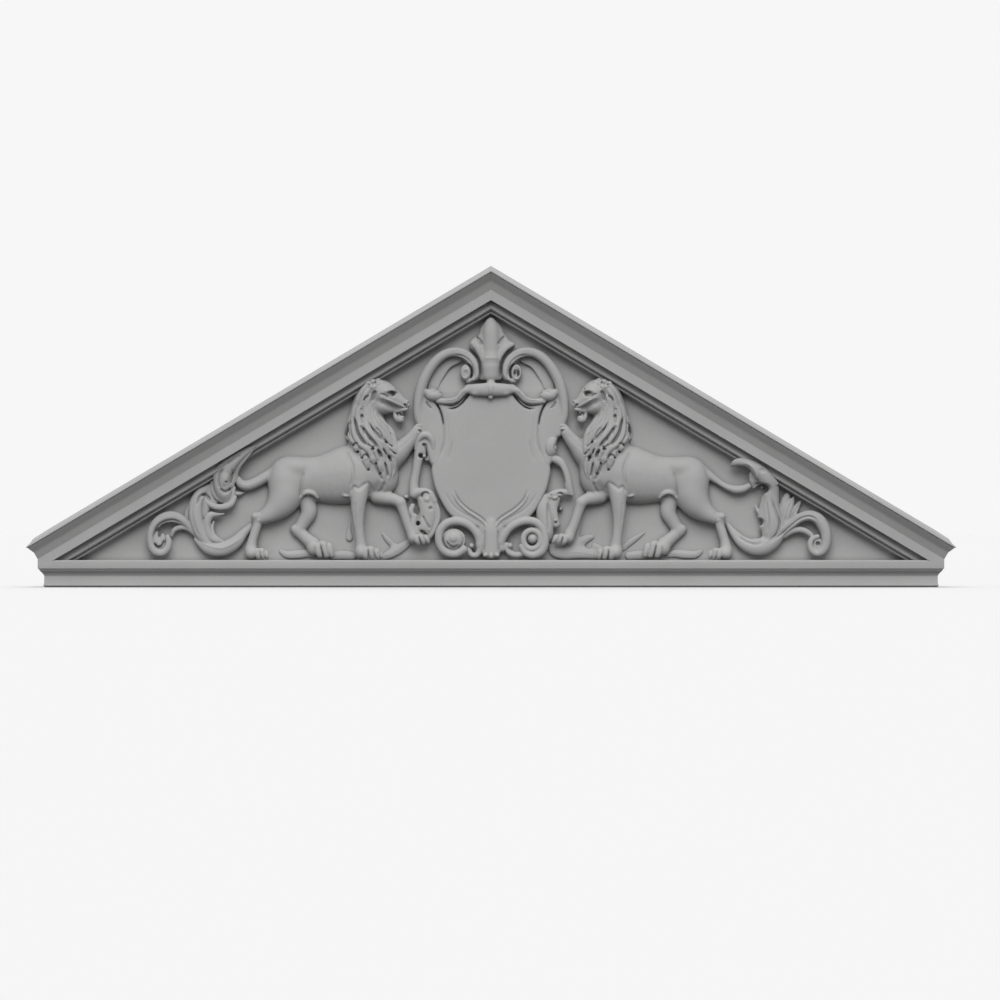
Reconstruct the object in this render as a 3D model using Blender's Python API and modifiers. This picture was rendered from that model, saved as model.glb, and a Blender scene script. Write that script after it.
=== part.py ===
"""Pediment section in cast stone: raking cornice, base moulding and a tympanum in high relief.

One casting. +X runs to the right, +Z up, and the front looks along -Y. The origin is in the
middle of the underside. Mouldings are mitred sweeps of their profiles; the figures are built from
rounded limbs and leaves, blended, thinned and joined to the slab behind them.
"""

import math

import bmesh
import bpy
from mathutils import Matrix

# Overall sizes, metres
FASCIA_LENGTH = 2.3116
RAKE_DEG = 30.74
END_HEIGHT = 0.144
SLAB_THICK = 0.050
TYMPANUM_RECESS = 0.050

# Raking cornice: heights are square to the rake, outs are in front of the fascia
LIP_OUT = 0.044
WEATHERING_FALL = 0.009
WEATHERING_BACK = 0.010
LIP_FACE = 0.0055
CYMA_TALL = 0.0325
CORONA_OUT = 0.016
CORONA_TALL = 0.030
BED_TALL = 0.021
BED_BEAD_TALL = 0.0135

# Base moulding, from the underside up
FASCIA_TALL = 0.0285
COVE_TALL = 0.0190
COVE_OUT = 0.0127
LEDGE_BEAD_TALL = 0.0225
BEAD_ROUND = 0.0035

# Figures: each keeps its form as shares of its own height above the ledge
LION_HEIGHT = 0.4715
RIGHT_LION_SHIFT = -0.0095
CARTOUCHE_HEIGHT = 0.6240
SCROLL_HEIGHT = 0.2950
RELIEF_ROOT = 0.010

LOCKS = 7

# Facets
VOXEL = 0.0034
LION_FACES = 2240
CARTOUCHE_FACES = 1400
SCROLL_FACES = 700

# Worked out from the sizes above
HALF = FASCIA_LENGTH / 2
RAKE = math.radians(RAKE_DEG)
BACK_OUT = -(TYMPANUM_RECESS + SLAB_THICK)
MID_OUT = (LIP_OUT + BACK_OUT) / 2
LEDGE_Z = FASCIA_TALL + COVE_TALL + LEDGE_BEAD_TALL
LION_PARTS = 182
CARTOUCHE_PARTS = 241
SCROLL_PARTS = 114


def y_of(out):
    """Y of a plane that lies out in front of the fascia."""
    return MID_OUT - out


def rake_line(x):
    """Height of the cornice's upper edge."""
    return END_HEIGHT + (HALF - abs(x)) * math.tan(RAKE)


def cornice_profile():
    """(distance below the upper edge, out) from the top of the casting to the tympanum."""
    lip_top = WEATHERING_FALL
    lip_end = lip_top + LIP_FACE
    cyma_end = lip_end + CYMA_TALL
    corona_end = cyma_end + CORONA_TALL
    bed_end = corona_end + BED_TALL
    bead_end = bed_end + BED_BEAD_TALL
    reach = LIP_OUT - CORONA_OUT
    depth = CORONA_OUT + TYMPANUM_RECESS
    points = [(0, BACK_OUT), (0, -WEATHERING_BACK), (lip_top, LIP_OUT - 0.3 * reach)]
    points += [(lip_top + 0.4 * LIP_FACE, LIP_OUT), (lip_end, LIP_OUT)]
    cyma = ((0.06, 0.92), (0.16, 0.92), (0.32, 0.82), (0.45, 0.68), (0.56, 0.46), (0.68, 0.27),
            (0.83, 0.15), (1.0, 0.09))
    points += [(lip_end + a * CYMA_TALL, CORONA_OUT + b * reach) for a, b in cyma]
    points += [(cyma_end + 0.07 * CORONA_TALL, CORONA_OUT - 0.07 * reach)]
    points += [(cyma_end + 0.2 * CORONA_TALL, CORONA_OUT), (corona_end, CORONA_OUT)]
    bed = ((0.04, 0.30), (0.2, 0.335), (0.45, 0.40), (0.7, 0.49), (1.0, 0.56))
    points += [(corona_end + a * BED_TALL, CORONA_OUT - b * depth) for a, b in bed]
    bead = ((0.08, 0.62), (0.25, 0.60), (0.5, 0.63), (0.68, 0.70), (0.76, 0.86), (1.0, 1.0))
    points += [(bed_end + a * BED_BEAD_TALL, CORONA_OUT - b * depth) for a, b in bead]
    return points + [(bead_end, BACK_OUT)]


def base_profile():
    """(height above the underside, out) from the underside's back to the ledge."""
    cove_end = FASCIA_TALL + COVE_TALL
    points = [(0, BACK_OUT), (0, -0.0015), (0.0015, 0), (FASCIA_TALL, 0)]
    cove = ((0.15, 0.1), (0.42, 0.38), (0.7, 0.8), (0.95, 1.0))
    points += [(FASCIA_TALL + a * COVE_TALL, b * COVE_OUT) for a, b in cove]
    points += [(cove_end, CORONA_OUT - 0.4 * BEAD_ROUND), (cove_end + 0.4 * BEAD_ROUND, CORONA_OUT)]
    points += [(LEDGE_Z - BEAD_ROUND, CORONA_OUT)]
    points += [(LEDGE_Z - 0.3 * BEAD_ROUND, CORONA_OUT - 0.3 * BEAD_ROUND)]
    return points + [(LEDGE_Z, CORONA_OUT - BEAD_ROUND), (LEDGE_Z, BACK_OUT)]


def mitred(name, profile, height):
    """Sweep a profile from the middle to the mitred corner and back along the end, and mirror it."""
    bm = bmesh.new()
    middle = [(0.0, y_of(out), height(0.0, size)) for size, out in profile]
    corner = [(-(HALF + out), y_of(out), height(HALF + out, size)) for size, out in profile]
    end = [(x, y_of(BACK_OUT), z) for x, _, z in corner]
    rings = [[bm.verts.new(p) for p in ring] for ring in (middle, corner, end)]
    for one, two in zip(rings, rings[1:]):
        for i in range(len(profile)):
            j = (i + 1) % len(profile)
            bm.faces.new((one[i], one[j], two[j], two[i]))
    bm.faces.new(rings[-1])
    bmesh.ops.remove_doubles(bm, verts=bm.verts, dist=1e-6)
    bmesh.ops.recalc_face_normals(bm, faces=bm.faces)
    mesh = bpy.data.meshes.new(name)
    bm.to_mesh(mesh)
    bm.free()
    obj = bpy.data.objects.new(name, mesh)
    bpy.context.scene.collection.objects.link(obj)
    mirror = obj.modifiers.new("other half", "MIRROR")
    mirror.merge_threshold = 0.0001
    return solid_copy(obj, name)


def solid_copy(obj, name):
    """The evaluated mesh as a new mesh object with its faces outward; the old object goes."""
    depsgraph = bpy.context.evaluated_depsgraph_get()
    mesh = bpy.data.meshes.new_from_object(obj.evaluated_get(depsgraph))
    mesh.transform(obj.matrix_world)
    bm = bmesh.new()
    bm.from_mesh(mesh)
    bmesh.ops.remove_doubles(bm, verts=bm.verts, dist=1e-6)
    bmesh.ops.recalc_face_normals(bm, faces=bm.faces)
    bm.to_mesh(mesh)
    bm.free()
    bpy.data.objects.remove(obj)
    copy = bpy.data.objects.new(name, mesh)
    bpy.context.scene.collection.objects.link(copy)
    return copy


def blended_copy(obj, name):
    """The evaluated mesh as it is, with the shells of its hollows still facing inward."""
    depsgraph = bpy.context.evaluated_depsgraph_get()
    copy = bpy.data.objects.new(name, bpy.data.meshes.new_from_object(obj.evaluated_get(depsgraph)))
    bpy.context.scene.collection.objects.link(copy)
    bpy.data.objects.remove(obj)
    return copy


def keep_side(obj, point, normal):
    """Cut a closed mesh with a plane, keep what the normal points away from, and close the cut."""
    bm = bmesh.new()
    bm.from_mesh(obj.data)
    whole = bm.verts[:] + bm.edges[:] + bm.faces[:]
    bmesh.ops.bisect_plane(bm, geom=whole, plane_co=point, plane_no=normal, clear_outer=True)
    rim = [e for e in bm.edges if e.is_boundary]
    bmesh.ops.triangle_fill(bm, edges=rim, use_beauty=True)
    bmesh.ops.recalc_face_normals(bm, faces=bm.faces)
    bm.to_mesh(obj.data)
    bm.free()


def plate(name, outline, y_front, y_back):
    """A flat outline in X and Z, as thick as the two planes are apart."""
    curve = bpy.data.curves.new(name, "CURVE")
    curve.dimensions = "2D"
    curve.fill_mode = "BOTH"
    curve.extrude = abs(y_back - y_front) / 2
    spline = curve.splines.new("POLY")
    spline.points.add(len(outline) - 1)
    for point, (x, z) in zip(spline.points, outline):
        point.co = (x, z, 0, 1)
    spline.use_cyclic_u = True
    obj = bpy.data.objects.new(name, curve)
    upright = Matrix.Rotation(math.pi / 2, 4, "X")
    obj.matrix_world = Matrix.Translation((0, (y_front + y_back) / 2, 0)) @ upright
    bpy.context.scene.collection.objects.link(obj)
    bpy.context.view_layer.update()
    return solid_copy(obj, name)


def smooth_path(knots, steps=4):
    """Catmull-Rom points through the knots, whatever each knot holds."""
    path = []
    for i in range(len(knots) - 1):
        before = knots[max(i - 1, 0)]
        after = knots[min(i + 2, len(knots) - 1)]
        for s in range(steps):
            t = s / steps
            weights = (-0.5 * t**3 + t**2 - 0.5 * t, 1.5 * t**3 - 2.5 * t**2 + 1,
                       -1.5 * t**3 + 2 * t**2 + 0.5 * t, 0.5 * t**3 - 0.5 * t**2)
            four = zip(before, knots[i], knots[i + 1], after)
            path.append(tuple(sum(w * c for w, c in zip(weights, column)) for column in four))
    return path + [tuple(knots[-1])]


def spiral(centre, start_deg, turns, radius, end_radius, width, end_width, out, end_out):
    """Knots of a volute that winds in from radius to end_radius; turns below 0 run clockwise."""
    count = max(5, int(abs(turns) * 12))
    knots = []
    for i in range(count + 1):
        t = i / count
        angle = math.radians(start_deg) + t * turns * 2 * math.pi
        r = radius + (end_radius - radius) * t
        knots.append((centre[0] + r * math.cos(angle), centre[1] + r * math.sin(angle),
                      out + (end_out - out) * t, width + (end_width - width) * t))
    return knots


def add_ball(bm, u, v, out, half_u, half_v, half_out, tilt=0.0):
    """An ellipsoid; tilt turns it in the plane of the wall, in degrees."""
    place = Matrix.Translation((u, -out, v)) @ Matrix.Rotation(-math.radians(tilt), 4, "Y")
    size = Matrix.Diagonal((half_u, half_out, half_v, 1))
    bmesh.ops.create_uvsphere(bm, u_segments=20, v_segments=12, radius=1, matrix=place @ size)


def add_limb(bm, knots, flat=1.0):
    """A round limb through knots (u, v, out, radius); flat scales its thickness off the wall."""
    curve = bpy.data.curves.new("limb", "CURVE")
    curve.dimensions = "3D"
    curve.bevel_depth = 1.0
    curve.bevel_resolution = 3
    curve.use_fill_caps = True
    path = smooth_path(knots)
    spline = curve.splines.new("POLY")
    spline.points.add(len(path) - 1)
    for point, (u, v, out, radius) in zip(spline.points, path):
        point.co = (u, -out / flat, v, 1)
        point.radius = max(radius, 0.3)
    obj = bpy.data.objects.new("limb", curve)
    bpy.context.scene.collection.objects.link(obj)
    limb = solid_copy(obj, "limb")
    limb.data.transform(Matrix.Diagonal((1, flat, 1, 1)))
    bm.from_mesh(limb.data)
    bpy.data.objects.remove(limb)
    for u, v, out, radius in (path[0], path[-1]):
        add_ball(bm, u, v, out, radius, radius, radius * flat)


def add_leaf_plate(bm, outline, out, root=-4.0):
    """A flat-faced outline (u, v) that stands out from the wall."""
    leaf = plate("leaf", smooth_path(outline + outline[:1])[:-1], -out, -root)
    bm.from_mesh(leaf.data)
    bpy.data.objects.remove(leaf)


def fill_hollows(obj):
    """Drop each closed shell that bounds a hollow inside the blended form: its volume is negative."""
    bm = bmesh.new()
    bm.from_mesh(obj.data)
    left = set(bm.verts)
    while left:
        shell = {left.pop()}
        edge = list(shell)
        while edge:
            near = {e.other_vert(v) for v in edge for e in v.link_edges} - shell
            shell |= near
            edge = list(near)
        left -= shell
        faces = {f for v in shell for f in v.link_faces}
        volume = sum(f.calc_center_median().dot(f.normal) * f.calc_area() for f in faces)
        if volume < 0:
            bmesh.ops.delete(bm, geom=list(shell), context="VERTS")
    bm.to_mesh(obj.data)
    bm.free()


def figure(name, build, unit, side, faces, shift=0.0, blend=3):
    """Blend the shapes that build adds, in parts of the figure, into one thinned solid."""
    bm = bmesh.new()
    build(bm)
    mesh = bpy.data.meshes.new(name)
    bm.to_mesh(mesh)
    bm.free()
    place = Matrix.Translation((shift, y_of(-TYMPANUM_RECESS), LEDGE_Z))
    mesh.transform(place @ Matrix.Diagonal((side * unit, unit, unit, 1)))
    if side < 0:
        mesh.flip_normals()
    obj = bpy.data.objects.new(name, mesh)
    bpy.context.scene.collection.objects.link(obj)
    remesh = obj.modifiers.new("blend", "REMESH")
    remesh.mode = "VOXEL"
    remesh.voxel_size = VOXEL
    smooth = obj.modifiers.new("soften", "SMOOTH")
    smooth.factor = 0.5
    smooth.iterations = blend
    obj = blended_copy(obj, name)
    fill_hollows(obj)
    keep_side(obj, (0, y_of(-TYMPANUM_RECESS) + RELIEF_ROOT, 0), (0, 1, 0))
    keep_side(obj, (0, 0, LEDGE_Z - RELIEF_ROOT), (0, 0, -1))
    thin = obj.modifiers.new("facets", "DECIMATE")
    thin.ratio = min(1.0, faces / sum(len(p.vertices) - 2 for p in obj.data.polygons))
    thin.use_collapse_triangulate = True
    return solid_copy(obj, name)


def between(one, two, t):
    """The knots part of the way from one path to another."""
    return [tuple(a + (b - a) * t for a, b in zip(p, q)) for p, q in zip(one, two)]


def add_mane(bm):
    """Neck and mane: a smooth mass with long locks that sweep from the crown to the chest."""
    add_limb(bm, [(118, 104, 5, 24), (120, 122, 5, 24), (124, 140, 5, 20), (122, 156, 5, 16.5),
                  (116, 168, 5, 12)], 0.72)
    front = [(115, 160, 3.0), (113, 146, 3.2), (104, 131, 3.4), (98, 116, 3.2), (100, 100, 2.2)]
    back = [(124, 176, 3.0), (140, 156, 3.6), (145, 134, 3.8), (144, 116, 3.4), (135, 101, 2.2)]
    for i in range(LOCKS):
        t = i / (LOCKS - 1)
        crest = 9 + 11 * math.sin(math.pi * (0.12 + 0.8 * t))
        lock = between(front, back, t)
        add_limb(bm, [(u, v, crest - 1.2 * abs(k - 2), r) for k, (u, v, r) in enumerate(lock)])
    tufts = ((136, 108, 130, 97), (128, 106, 122, 90), (120, 102, 114, 82), (112, 100, 108, 78),
             (104, 98, 104, 82))
    for u, v, tip_u, tip_v in tufts:
        middle = ((u + tip_u) / 2 + 1.5, (v + tip_v) / 2)
        add_limb(bm, [(u, v, 15, 4.6), (*middle, 15, 4.4), (tip_u, tip_v, 12, 2)])


def add_paw(bm, u, v, out, reach, toe_side):
    """A paw with its toes; reach is its half length and toe_side points along u."""
    add_ball(bm, u - 0.25 * toe_side * reach, v, out, 0.72 * reach, 0.58 * reach, 0.72 * reach)
    for step in (-1, 0, 1):
        toe_out = out + 0.42 * reach * step
        add_ball(bm, u + toe_side * reach * (0.62 - 0.08 * step), v - 0.14 * reach, toe_out,
                 0.40 * reach, 0.40 * reach, 0.27 * reach)


def build_lion(bm):
    """u runs from the middle of the pediment towards the tail, v up from the ledge."""
    # Trunk: loins, ribs, haunch and shoulder
    add_limb(bm, [(198, 80, 2, 21), (176, 81, 1, 21.5), (158, 82, 1, 24.5), (142, 84, 1, 28),
                  (126, 87, 1, 27)], 0.68)
    add_ball(bm, 205, 75, 4, 18, 27, 16, -6)
    add_ball(bm, 207, 60, 6, 13, 17, 13, 20)
    add_ball(bm, 129, 86, 4, 17, 26, 17, 8)
    add_ball(bm, 111, 89, 2, 18, 24, 17, 14)
    add_mane(bm)
    # Head: skull, cheek, muzzle, brow and lower jaw
    add_ball(bm, 111, 167, 7, 13, 13.5, 12)
    add_ball(bm, 109, 155, 9, 12, 10.5, 11)
    add_limb(bm, [(101, 163, 9, 9.8), (93, 158, 9, 8), (87, 154, 9, 6.3)], 1.1)
    add_ball(bm, 84.5, 157, 9, 3.4, 3.2, 5)
    add_limb(bm, [(104, 173, 13, 3), (98, 168.5, 14, 3.2), (95, 165, 13, 2)])
    add_limb(bm, [(104, 149, 9, 6), (97, 141.5, 9, 4.4), (90.5, 139.5, 9, 5)], 1.1)
    # Near hind leg
    add_limb(bm, [(207, 58, 8, 15.5), (215, 50, 9, 12), (225, 44, 9, 7.8), (233, 41.5, 9, 5.6),
                  (234, 32, 9, 4.9), (238, 19, 9, 5), (240, 9, 9, 6.4)], 0.95)
    add_ball(bm, 235, 43, 10, 3.6, 3.6, 5)
    add_paw(bm, 233, 7.4, 10, 12, -1)
    # Far hind leg
    add_limb(bm, [(184, 62, 2, 9.5), (182.5, 48, 3, 8.8), (189.5, 34, 3, 7.2), (184, 22, 3, 6.4),
                  (175, 13, 4, 7)])
    add_paw(bm, 168, 9.5, 5, 12.5, -1)
    # Near foreleg
    add_limb(bm, [(131, 80, 12, 10.5), (132, 64, 13, 9), (132.5, 44, 13, 6.2), (131.5, 30, 13, 5.2),
                  (129, 15, 12, 6.2)], 0.95)
    add_ball(bm, 139, 68, 12, 4.2, 4.6, 5)
    add_paw(bm, 121, 7.6, 12, 13, -1)
    # Bent foreleg
    add_limb(bm, [(114, 64, 5, 9), (104, 60, 7, 7), (93, 58, 8, 5.8), (87, 46, 8, 5), (83, 34, 8, 5.4)])
    add_paw(bm, 73, 23, 8, 10.5, -1)
    # Raised foreleg
    add_limb(bm, [(101, 100, 3, 13), (89, 111, 6, 9), (80, 121, 8, 6.3), (73, 131, 10, 5)])
    # Tail
    add_limb(bm, [(214, 89, 4, 5), (226, 83, 5, 4.6), (238, 77, 5, 4.8), (247, 73, 5, 4.6),
                  (254, 78, 6, 4.4), (257, 84, 7, 4)])


def build_strap(bm):
    """The strap and leaf that hang between the lion's forelegs and the shield."""
    add_limb(bm, [(72, 127, 6, 5), (69, 116, 8, 8), (69, 104, 8, 7), (75, 88, 6, 4.5),
                  (78, 70, 6, 5), (72, 58, 7, 8), (67, 44, 8, 12), (66, 30, 8, 12), (68, 20, 6, 8)], 0.8)
    add_limb(bm, [(70, 60, 9, 5), (60, 60, 9, 6), (57, 48, 9, 5), (57, 33, 8, 4), (63, 18, 7, 4)], 0.8)


def build_cartouche(bm):
    for side in (-1, 1):
        half_cartouche(bm, side)
    # Palmette and neck
    add_limb(bm, [(0, 178, 8, 9), (0, 196, 9, 9), (0, 206, 8, 8), (0, 222, 7, 8), (0, 234, 5, 4),
                  (0, 239, 4, 2)], 0.9)
    # Pendant under the shield
    add_limb(bm, [(0, 36, 8, 7), (0, 22, 9, 9), (0, 8, 9, 8)], 0.9)
    add_ball(bm, 0, 5, 16, 3.5, 4, 4)


def half_cartouche(bm, side):
    def place(knots):
        return [(side * k[0], *k[1:]) for k in knots]

    # Hollow board behind the volutes, and the shield itself
    add_leaf_plate(bm, place([(0, 184), (14, 196), (30, 206), (48, 201), (64, 188), (71, 168), (70, 148),
                              (63, 124), (59, 96), (56, 78), (50, 59), (38, 42), (20, 32), (0, 28)]), 6)
    add_leaf_plate(bm, place([(0, 177), (18, 175), (34, 162), (50, 168), (60, 162), (50, 146), (46, 128),
                              (52, 110), (57, 96), (52, 76), (42, 55), (24, 38), (0, 31)]), 12)
    # Band that rolls over the top and turns into the volute by the neck
    add_limb(bm, place([(60, 112, 8, 4), (68, 128, 8, 5), (74, 144, 9, 5), (72, 164, 9, 5.2),
                        (66, 182, 9, 5.2), (56, 196, 10, 5.2), (43, 206, 10, 5), (31, 207, 11, 5),
                        (21, 200, 12, 5), (15.5, 190, 12, 5), (16, 181, 12, 4.4)]))
    add_limb(bm, place(spiral((26, 188), 255, 1.0, 7, 3.5, 2.8, 2.2, 11, 12)))
    # Strip over the shield, with its ear
    add_limb(bm, place([(0, 172, 14, 6), (12, 172, 14, 6), (22, 168, 13, 5), (31, 158, 12, 3.4),
                        (42, 157, 12, 3), (50, 160, 13, 4), (55, 165, 13, 5)]))
    add_ball(bm, side * 58, 164, 12, 7, 6, 6)
    # Border of the shield
    add_limb(bm, place([(54, 158, 12, 2.6), (48, 144, 12, 2.6), (46, 126, 12, 2.8), (52, 110, 12, 3),
                        (57, 94, 11, 3.2), (54, 76, 11, 3.4), (47, 59, 11, 4), (36, 46, 11, 4),
                        (22, 38, 12, 4), (6, 30, 12, 4)]))
    add_limb(bm, place([(38, 68, 12, 2), (30, 55, 13, 2.4), (18, 46, 13, 2.8), (6, 36, 13, 3.2)]))
    # Leaves of the palmette
    add_limb(bm, place([(4, 200, 8, 4), (8, 213, 8, 5), (13, 224, 6, 3.5)]), 0.8)
    add_limb(bm, place([(6, 198, 7, 4), (13, 208, 7, 5), (20, 217, 5, 3)]), 0.8)
    # Lower volute
    wind = spiral((39, 20), 140, -1.1, 16.5, 15, 4.8, 4.4, 8, 9)
    add_limb(bm, place([(12, 36, 9, 5), (18, 36, 9, 5)] + wind))
    add_ball(bm, side * 40, 20, 3, 7, 7, 11)
    add_ball(bm, side * 19, 15, 4, 4, 4, 9)


def build_left_scroll(bm):
    """Leaf scroll behind the left lion, u to the left of the middle."""
    # Stem from behind the hind leg round to the leaf
    add_limb(bm, [(238, 34, 3, 6), (249, 18, 5, 9), (262, 11, 6, 9), (276, 11, 7, 9.5), (288, 19, 8, 8),
                  (297, 23, 8, 3)], 0.8)
    # Leaf fan above the stem
    add_limb(bm, [(275, 14, 5, 8), (286, 28, 6, 10), (291, 44, 6, 10), (290, 58, 5, 8),
                  (284, 70, 4, 4)], 0.8)
    add_limb(bm, [(272, 20, 6, 5), (278, 36, 7, 6), (276, 50, 7, 5), (268, 50, 7, 3.5)], 0.9)
    # Leaf that crosses the bed mould
    add_limb(bm, [(279, 66, 6, 4), (272, 60, 8, 6), (262, 62, 9, 6), (258, 76, 10, 7), (261, 92, 10, 9),
                  (256, 100, 10, 8), (246, 108, 9, 5), (237, 113, 8, 2.5)], 0.9)
    add_ball(bm, 265, 78, 12, 6, 8, 7, 10)
    add_limb(bm, [(277, 80, 9, 2), (272, 92, 10, 4), (262, 101, 10, 5)], 0.9)
    # Volute
    add_limb(bm, [(289, 22, 7, 4), (297, 34, 7, 4.5), (307, 41, 8, 5), (318, 43, 8, 5), (330, 40, 8, 5),
                  (338, 31, 8, 5), (340, 18, 8, 5), (334, 8, 8, 5), (326, 9, 8, 4.5), (324, 18, 8, 4)])
    add_limb(bm, [(293, 26, 6, 3.5), (301, 28, 7, 3.6), (311, 29, 7, 3.2), (318, 24, 7, 2.5)])
    add_ball(bm, 332, 20, 6, 5, 5, 6)


def build_right_scroll(bm):
    """Leaf scroll behind the right lion, u to the right of the middle."""
    # Stem from behind the hind leg round to the leaf
    add_limb(bm, [(236, 36, 3, 5), (243, 22, 5, 7.5), (254, 14, 6, 8), (268, 13, 6, 9),
                  (280, 18, 7, 8)], 0.8)
    add_limb(bm, [(276, 20, 6, 7), (285, 32, 7, 8), (284, 48, 7, 10), (278, 62, 7, 11)], 0.8)
    # Leaf spikes
    for tip, root, width in (((300, 64), (288, 28), 4.2), ((308, 58), (291, 26), 3.4)):
        middle = ((tip[0] + root[0]) / 2, (tip[1] + root[1]) / 2)
        add_limb(bm, [(*root, 6, width), (*middle, 6, width), (*tip, 4, width * 0.5)], 0.8)
    add_ball(bm, 269, 37, 2, 3, 4, 7)
    # Rolled leaf at the top, which meets the tail
    add_limb(bm, [(282, 52, 7, 8), (284, 70, 10, 7), (278, 86, 11, 8), (268, 95, 11, 8), (256, 98, 10, 5.5),
                  (245, 96, 9, 4.5), (242, 93, 8, 3)], 0.9)
    add_limb(bm, [(270, 84, 11, 7), (264, 76, 10, 4), (260, 72, 9, 3)], 0.9)
    add_limb(bm, [(250, 69, 6, 4), (256, 72, 7, 4), (262, 76, 8, 4)])
    # Volute
    add_limb(bm, [(280, 14, 7, 5), (292, 27, 7, 5), (303, 38, 8, 5), (315, 44, 8, 5.5), (327, 42, 8, 6),
                  (334, 32, 8, 6), (335, 20, 8, 6), (331, 10, 8, 6), (324, 9, 8, 5.5), (323, 17, 8, 5)])
    add_limb(bm, [(296, 26, 7, 3.2), (306, 30, 7, 3.2), (316, 29, 7, 3), (323, 22, 7, 3)])


def join(body, others, name):
    """The body with every other solid joined to it; the others stay as wire guides.

    EXACT drops the body when a thinned figure folds over itself by a hair, so figures use MANIFOLD.
    """
    guides = bpy.data.collections.new("joined forms")
    bpy.context.scene.collection.children.link(guides)
    home = bpy.data.collections.new("pediment section")
    bpy.context.scene.collection.children.link(home)
    for other in others:
        for owner in list(other.users_collection):
            owner.objects.unlink(other)
        guides.objects.link(other)
        other.hide_render = True
        other.display_type = "WIRE"
        union = body.modifiers.new("join " + other.name, "BOOLEAN")
        union.operation = "UNION"
        union.solver = "EXACT" if other.name in MOULDINGS else "MANIFOLD"
        union.object = other
    for owner in list(body.users_collection):
        owner.objects.unlink(body)
    home.objects.link(body)
    body.name = name


MOULDINGS = ("base moulding", "raking cornice")


def stone():
    material = bpy.data.materials.new("grey cast stone")
    material.use_nodes = True
    shader = material.node_tree.nodes["Principled BSDF"]
    shader.inputs["Base Color"].default_value = (0.42, 0.42, 0.42, 1)
    shader.inputs["Roughness"].default_value = 0.85
    shader.inputs["Metallic"].default_value = 0.0
    return material


def main():
    for obj in list(bpy.data.objects):
        bpy.data.objects.remove(obj)
    base = mitred("base moulding", base_profile(), lambda x, z: z)
    cornice = mitred("raking cornice", cornice_profile(),
                     lambda x, below: rake_line(x) - below / math.cos(RAKE))
    keep_side(cornice, (0, 0, LEDGE_Z - LEDGE_BEAD_TALL / 2), (0, 0, -1))
    slab_in = WEATHERING_FALL + LIP_FACE + CYMA_TALL
    slab_foot = FASCIA_TALL
    slab_half = HALF - slab_in - SLAB_THICK
    slab_top = rake_line(0) - slab_in / math.cos(RAKE)
    slab_side = rake_line(slab_half) - slab_in / math.cos(RAKE)
    slab = plate("slab", [(-slab_half, slab_foot), (slab_half, slab_foot), (slab_half, slab_side),
                          (0, slab_top), (-slab_half, slab_side)], y_of(-TYMPANUM_RECESS), y_of(BACK_OUT))
    lion_part = LION_HEIGHT / LION_PARTS
    cartouche_part = CARTOUCHE_HEIGHT / CARTOUCHE_PARTS
    scroll_part = SCROLL_HEIGHT / SCROLL_PARTS
    others = [base, cornice]
    others.append(figure("left lion", build_lion, lion_part, -1, LION_FACES))
    others.append(figure("right lion", build_lion, lion_part, 1, LION_FACES, RIGHT_LION_SHIFT))
    others.append(figure("cartouche", build_cartouche, cartouche_part, 1, CARTOUCHE_FACES))
    others.append(figure("left strap", build_strap, lion_part, -1, SCROLL_FACES // 3))
    others.append(figure("right strap", build_strap, lion_part, 1, SCROLL_FACES // 3))
    others.append(figure("left scroll", build_left_scroll, scroll_part, -1, SCROLL_FACES))
    others.append(figure("right scroll", build_right_scroll, scroll_part, 1, SCROLL_FACES))
    slab.data.materials.append(stone())
    join(slab, others, "pediment")


main()
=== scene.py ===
"""Looks of the pediment section: fine mouldings, modelled relief and a grey cast stone finish."""

import math

import bmesh
import bpy
import numpy as np
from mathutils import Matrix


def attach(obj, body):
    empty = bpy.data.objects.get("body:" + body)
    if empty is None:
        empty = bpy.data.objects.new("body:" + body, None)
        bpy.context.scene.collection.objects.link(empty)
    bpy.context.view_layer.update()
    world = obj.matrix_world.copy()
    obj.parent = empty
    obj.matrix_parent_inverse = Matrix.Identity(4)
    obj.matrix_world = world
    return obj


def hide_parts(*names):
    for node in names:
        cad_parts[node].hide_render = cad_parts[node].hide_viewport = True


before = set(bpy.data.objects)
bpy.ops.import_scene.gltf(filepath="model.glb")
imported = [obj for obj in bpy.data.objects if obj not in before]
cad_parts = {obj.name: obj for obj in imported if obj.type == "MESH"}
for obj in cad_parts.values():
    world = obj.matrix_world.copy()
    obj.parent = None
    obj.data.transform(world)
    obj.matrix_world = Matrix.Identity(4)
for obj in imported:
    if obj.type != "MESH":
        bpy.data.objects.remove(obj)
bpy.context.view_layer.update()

NODE = "pediment"

# Sizes of the casting, as the frame has them, metres
FASCIA_LENGTH = 2.3116
RAKE = math.radians(30.74)
END_HEIGHT = 0.144
SLAB_THICK = 0.050
TYMPANUM_RECESS = 0.050
LIP_OUT = 0.044
CORONA_OUT = 0.016
FASCIA_TALL = 0.0285
LEDGE_Z = 0.070
HALF = FASCIA_LENGTH / 2
BACK_OUT = -(TYMPANUM_RECESS + SLAB_THICK)
MID_OUT = (LIP_OUT + BACK_OUT) / 2

# The relief is measured in parts, of which a lion's height has 182
LION_HEIGHT = 0.4715
PART = LION_HEIGHT / 182

# The clay, in parts: how far it roots in the wall, and the cells of its grid
ROOT = 3.0
FINE = 0.62
BROAD = 0.75
THINNEST = 0.15
GROUND = -2.5

# A piece is thinned above this many triangles, and loose crumbs have fewer quads than this
MOST_TRIANGLES = 180000
CRUMB = 200

# Grey of the stone, and the share of it that is left where shade is painted into its recesses
STONE = (0.34, 0.34, 0.338)
HOLLOW_SHADE = 0.6

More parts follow.
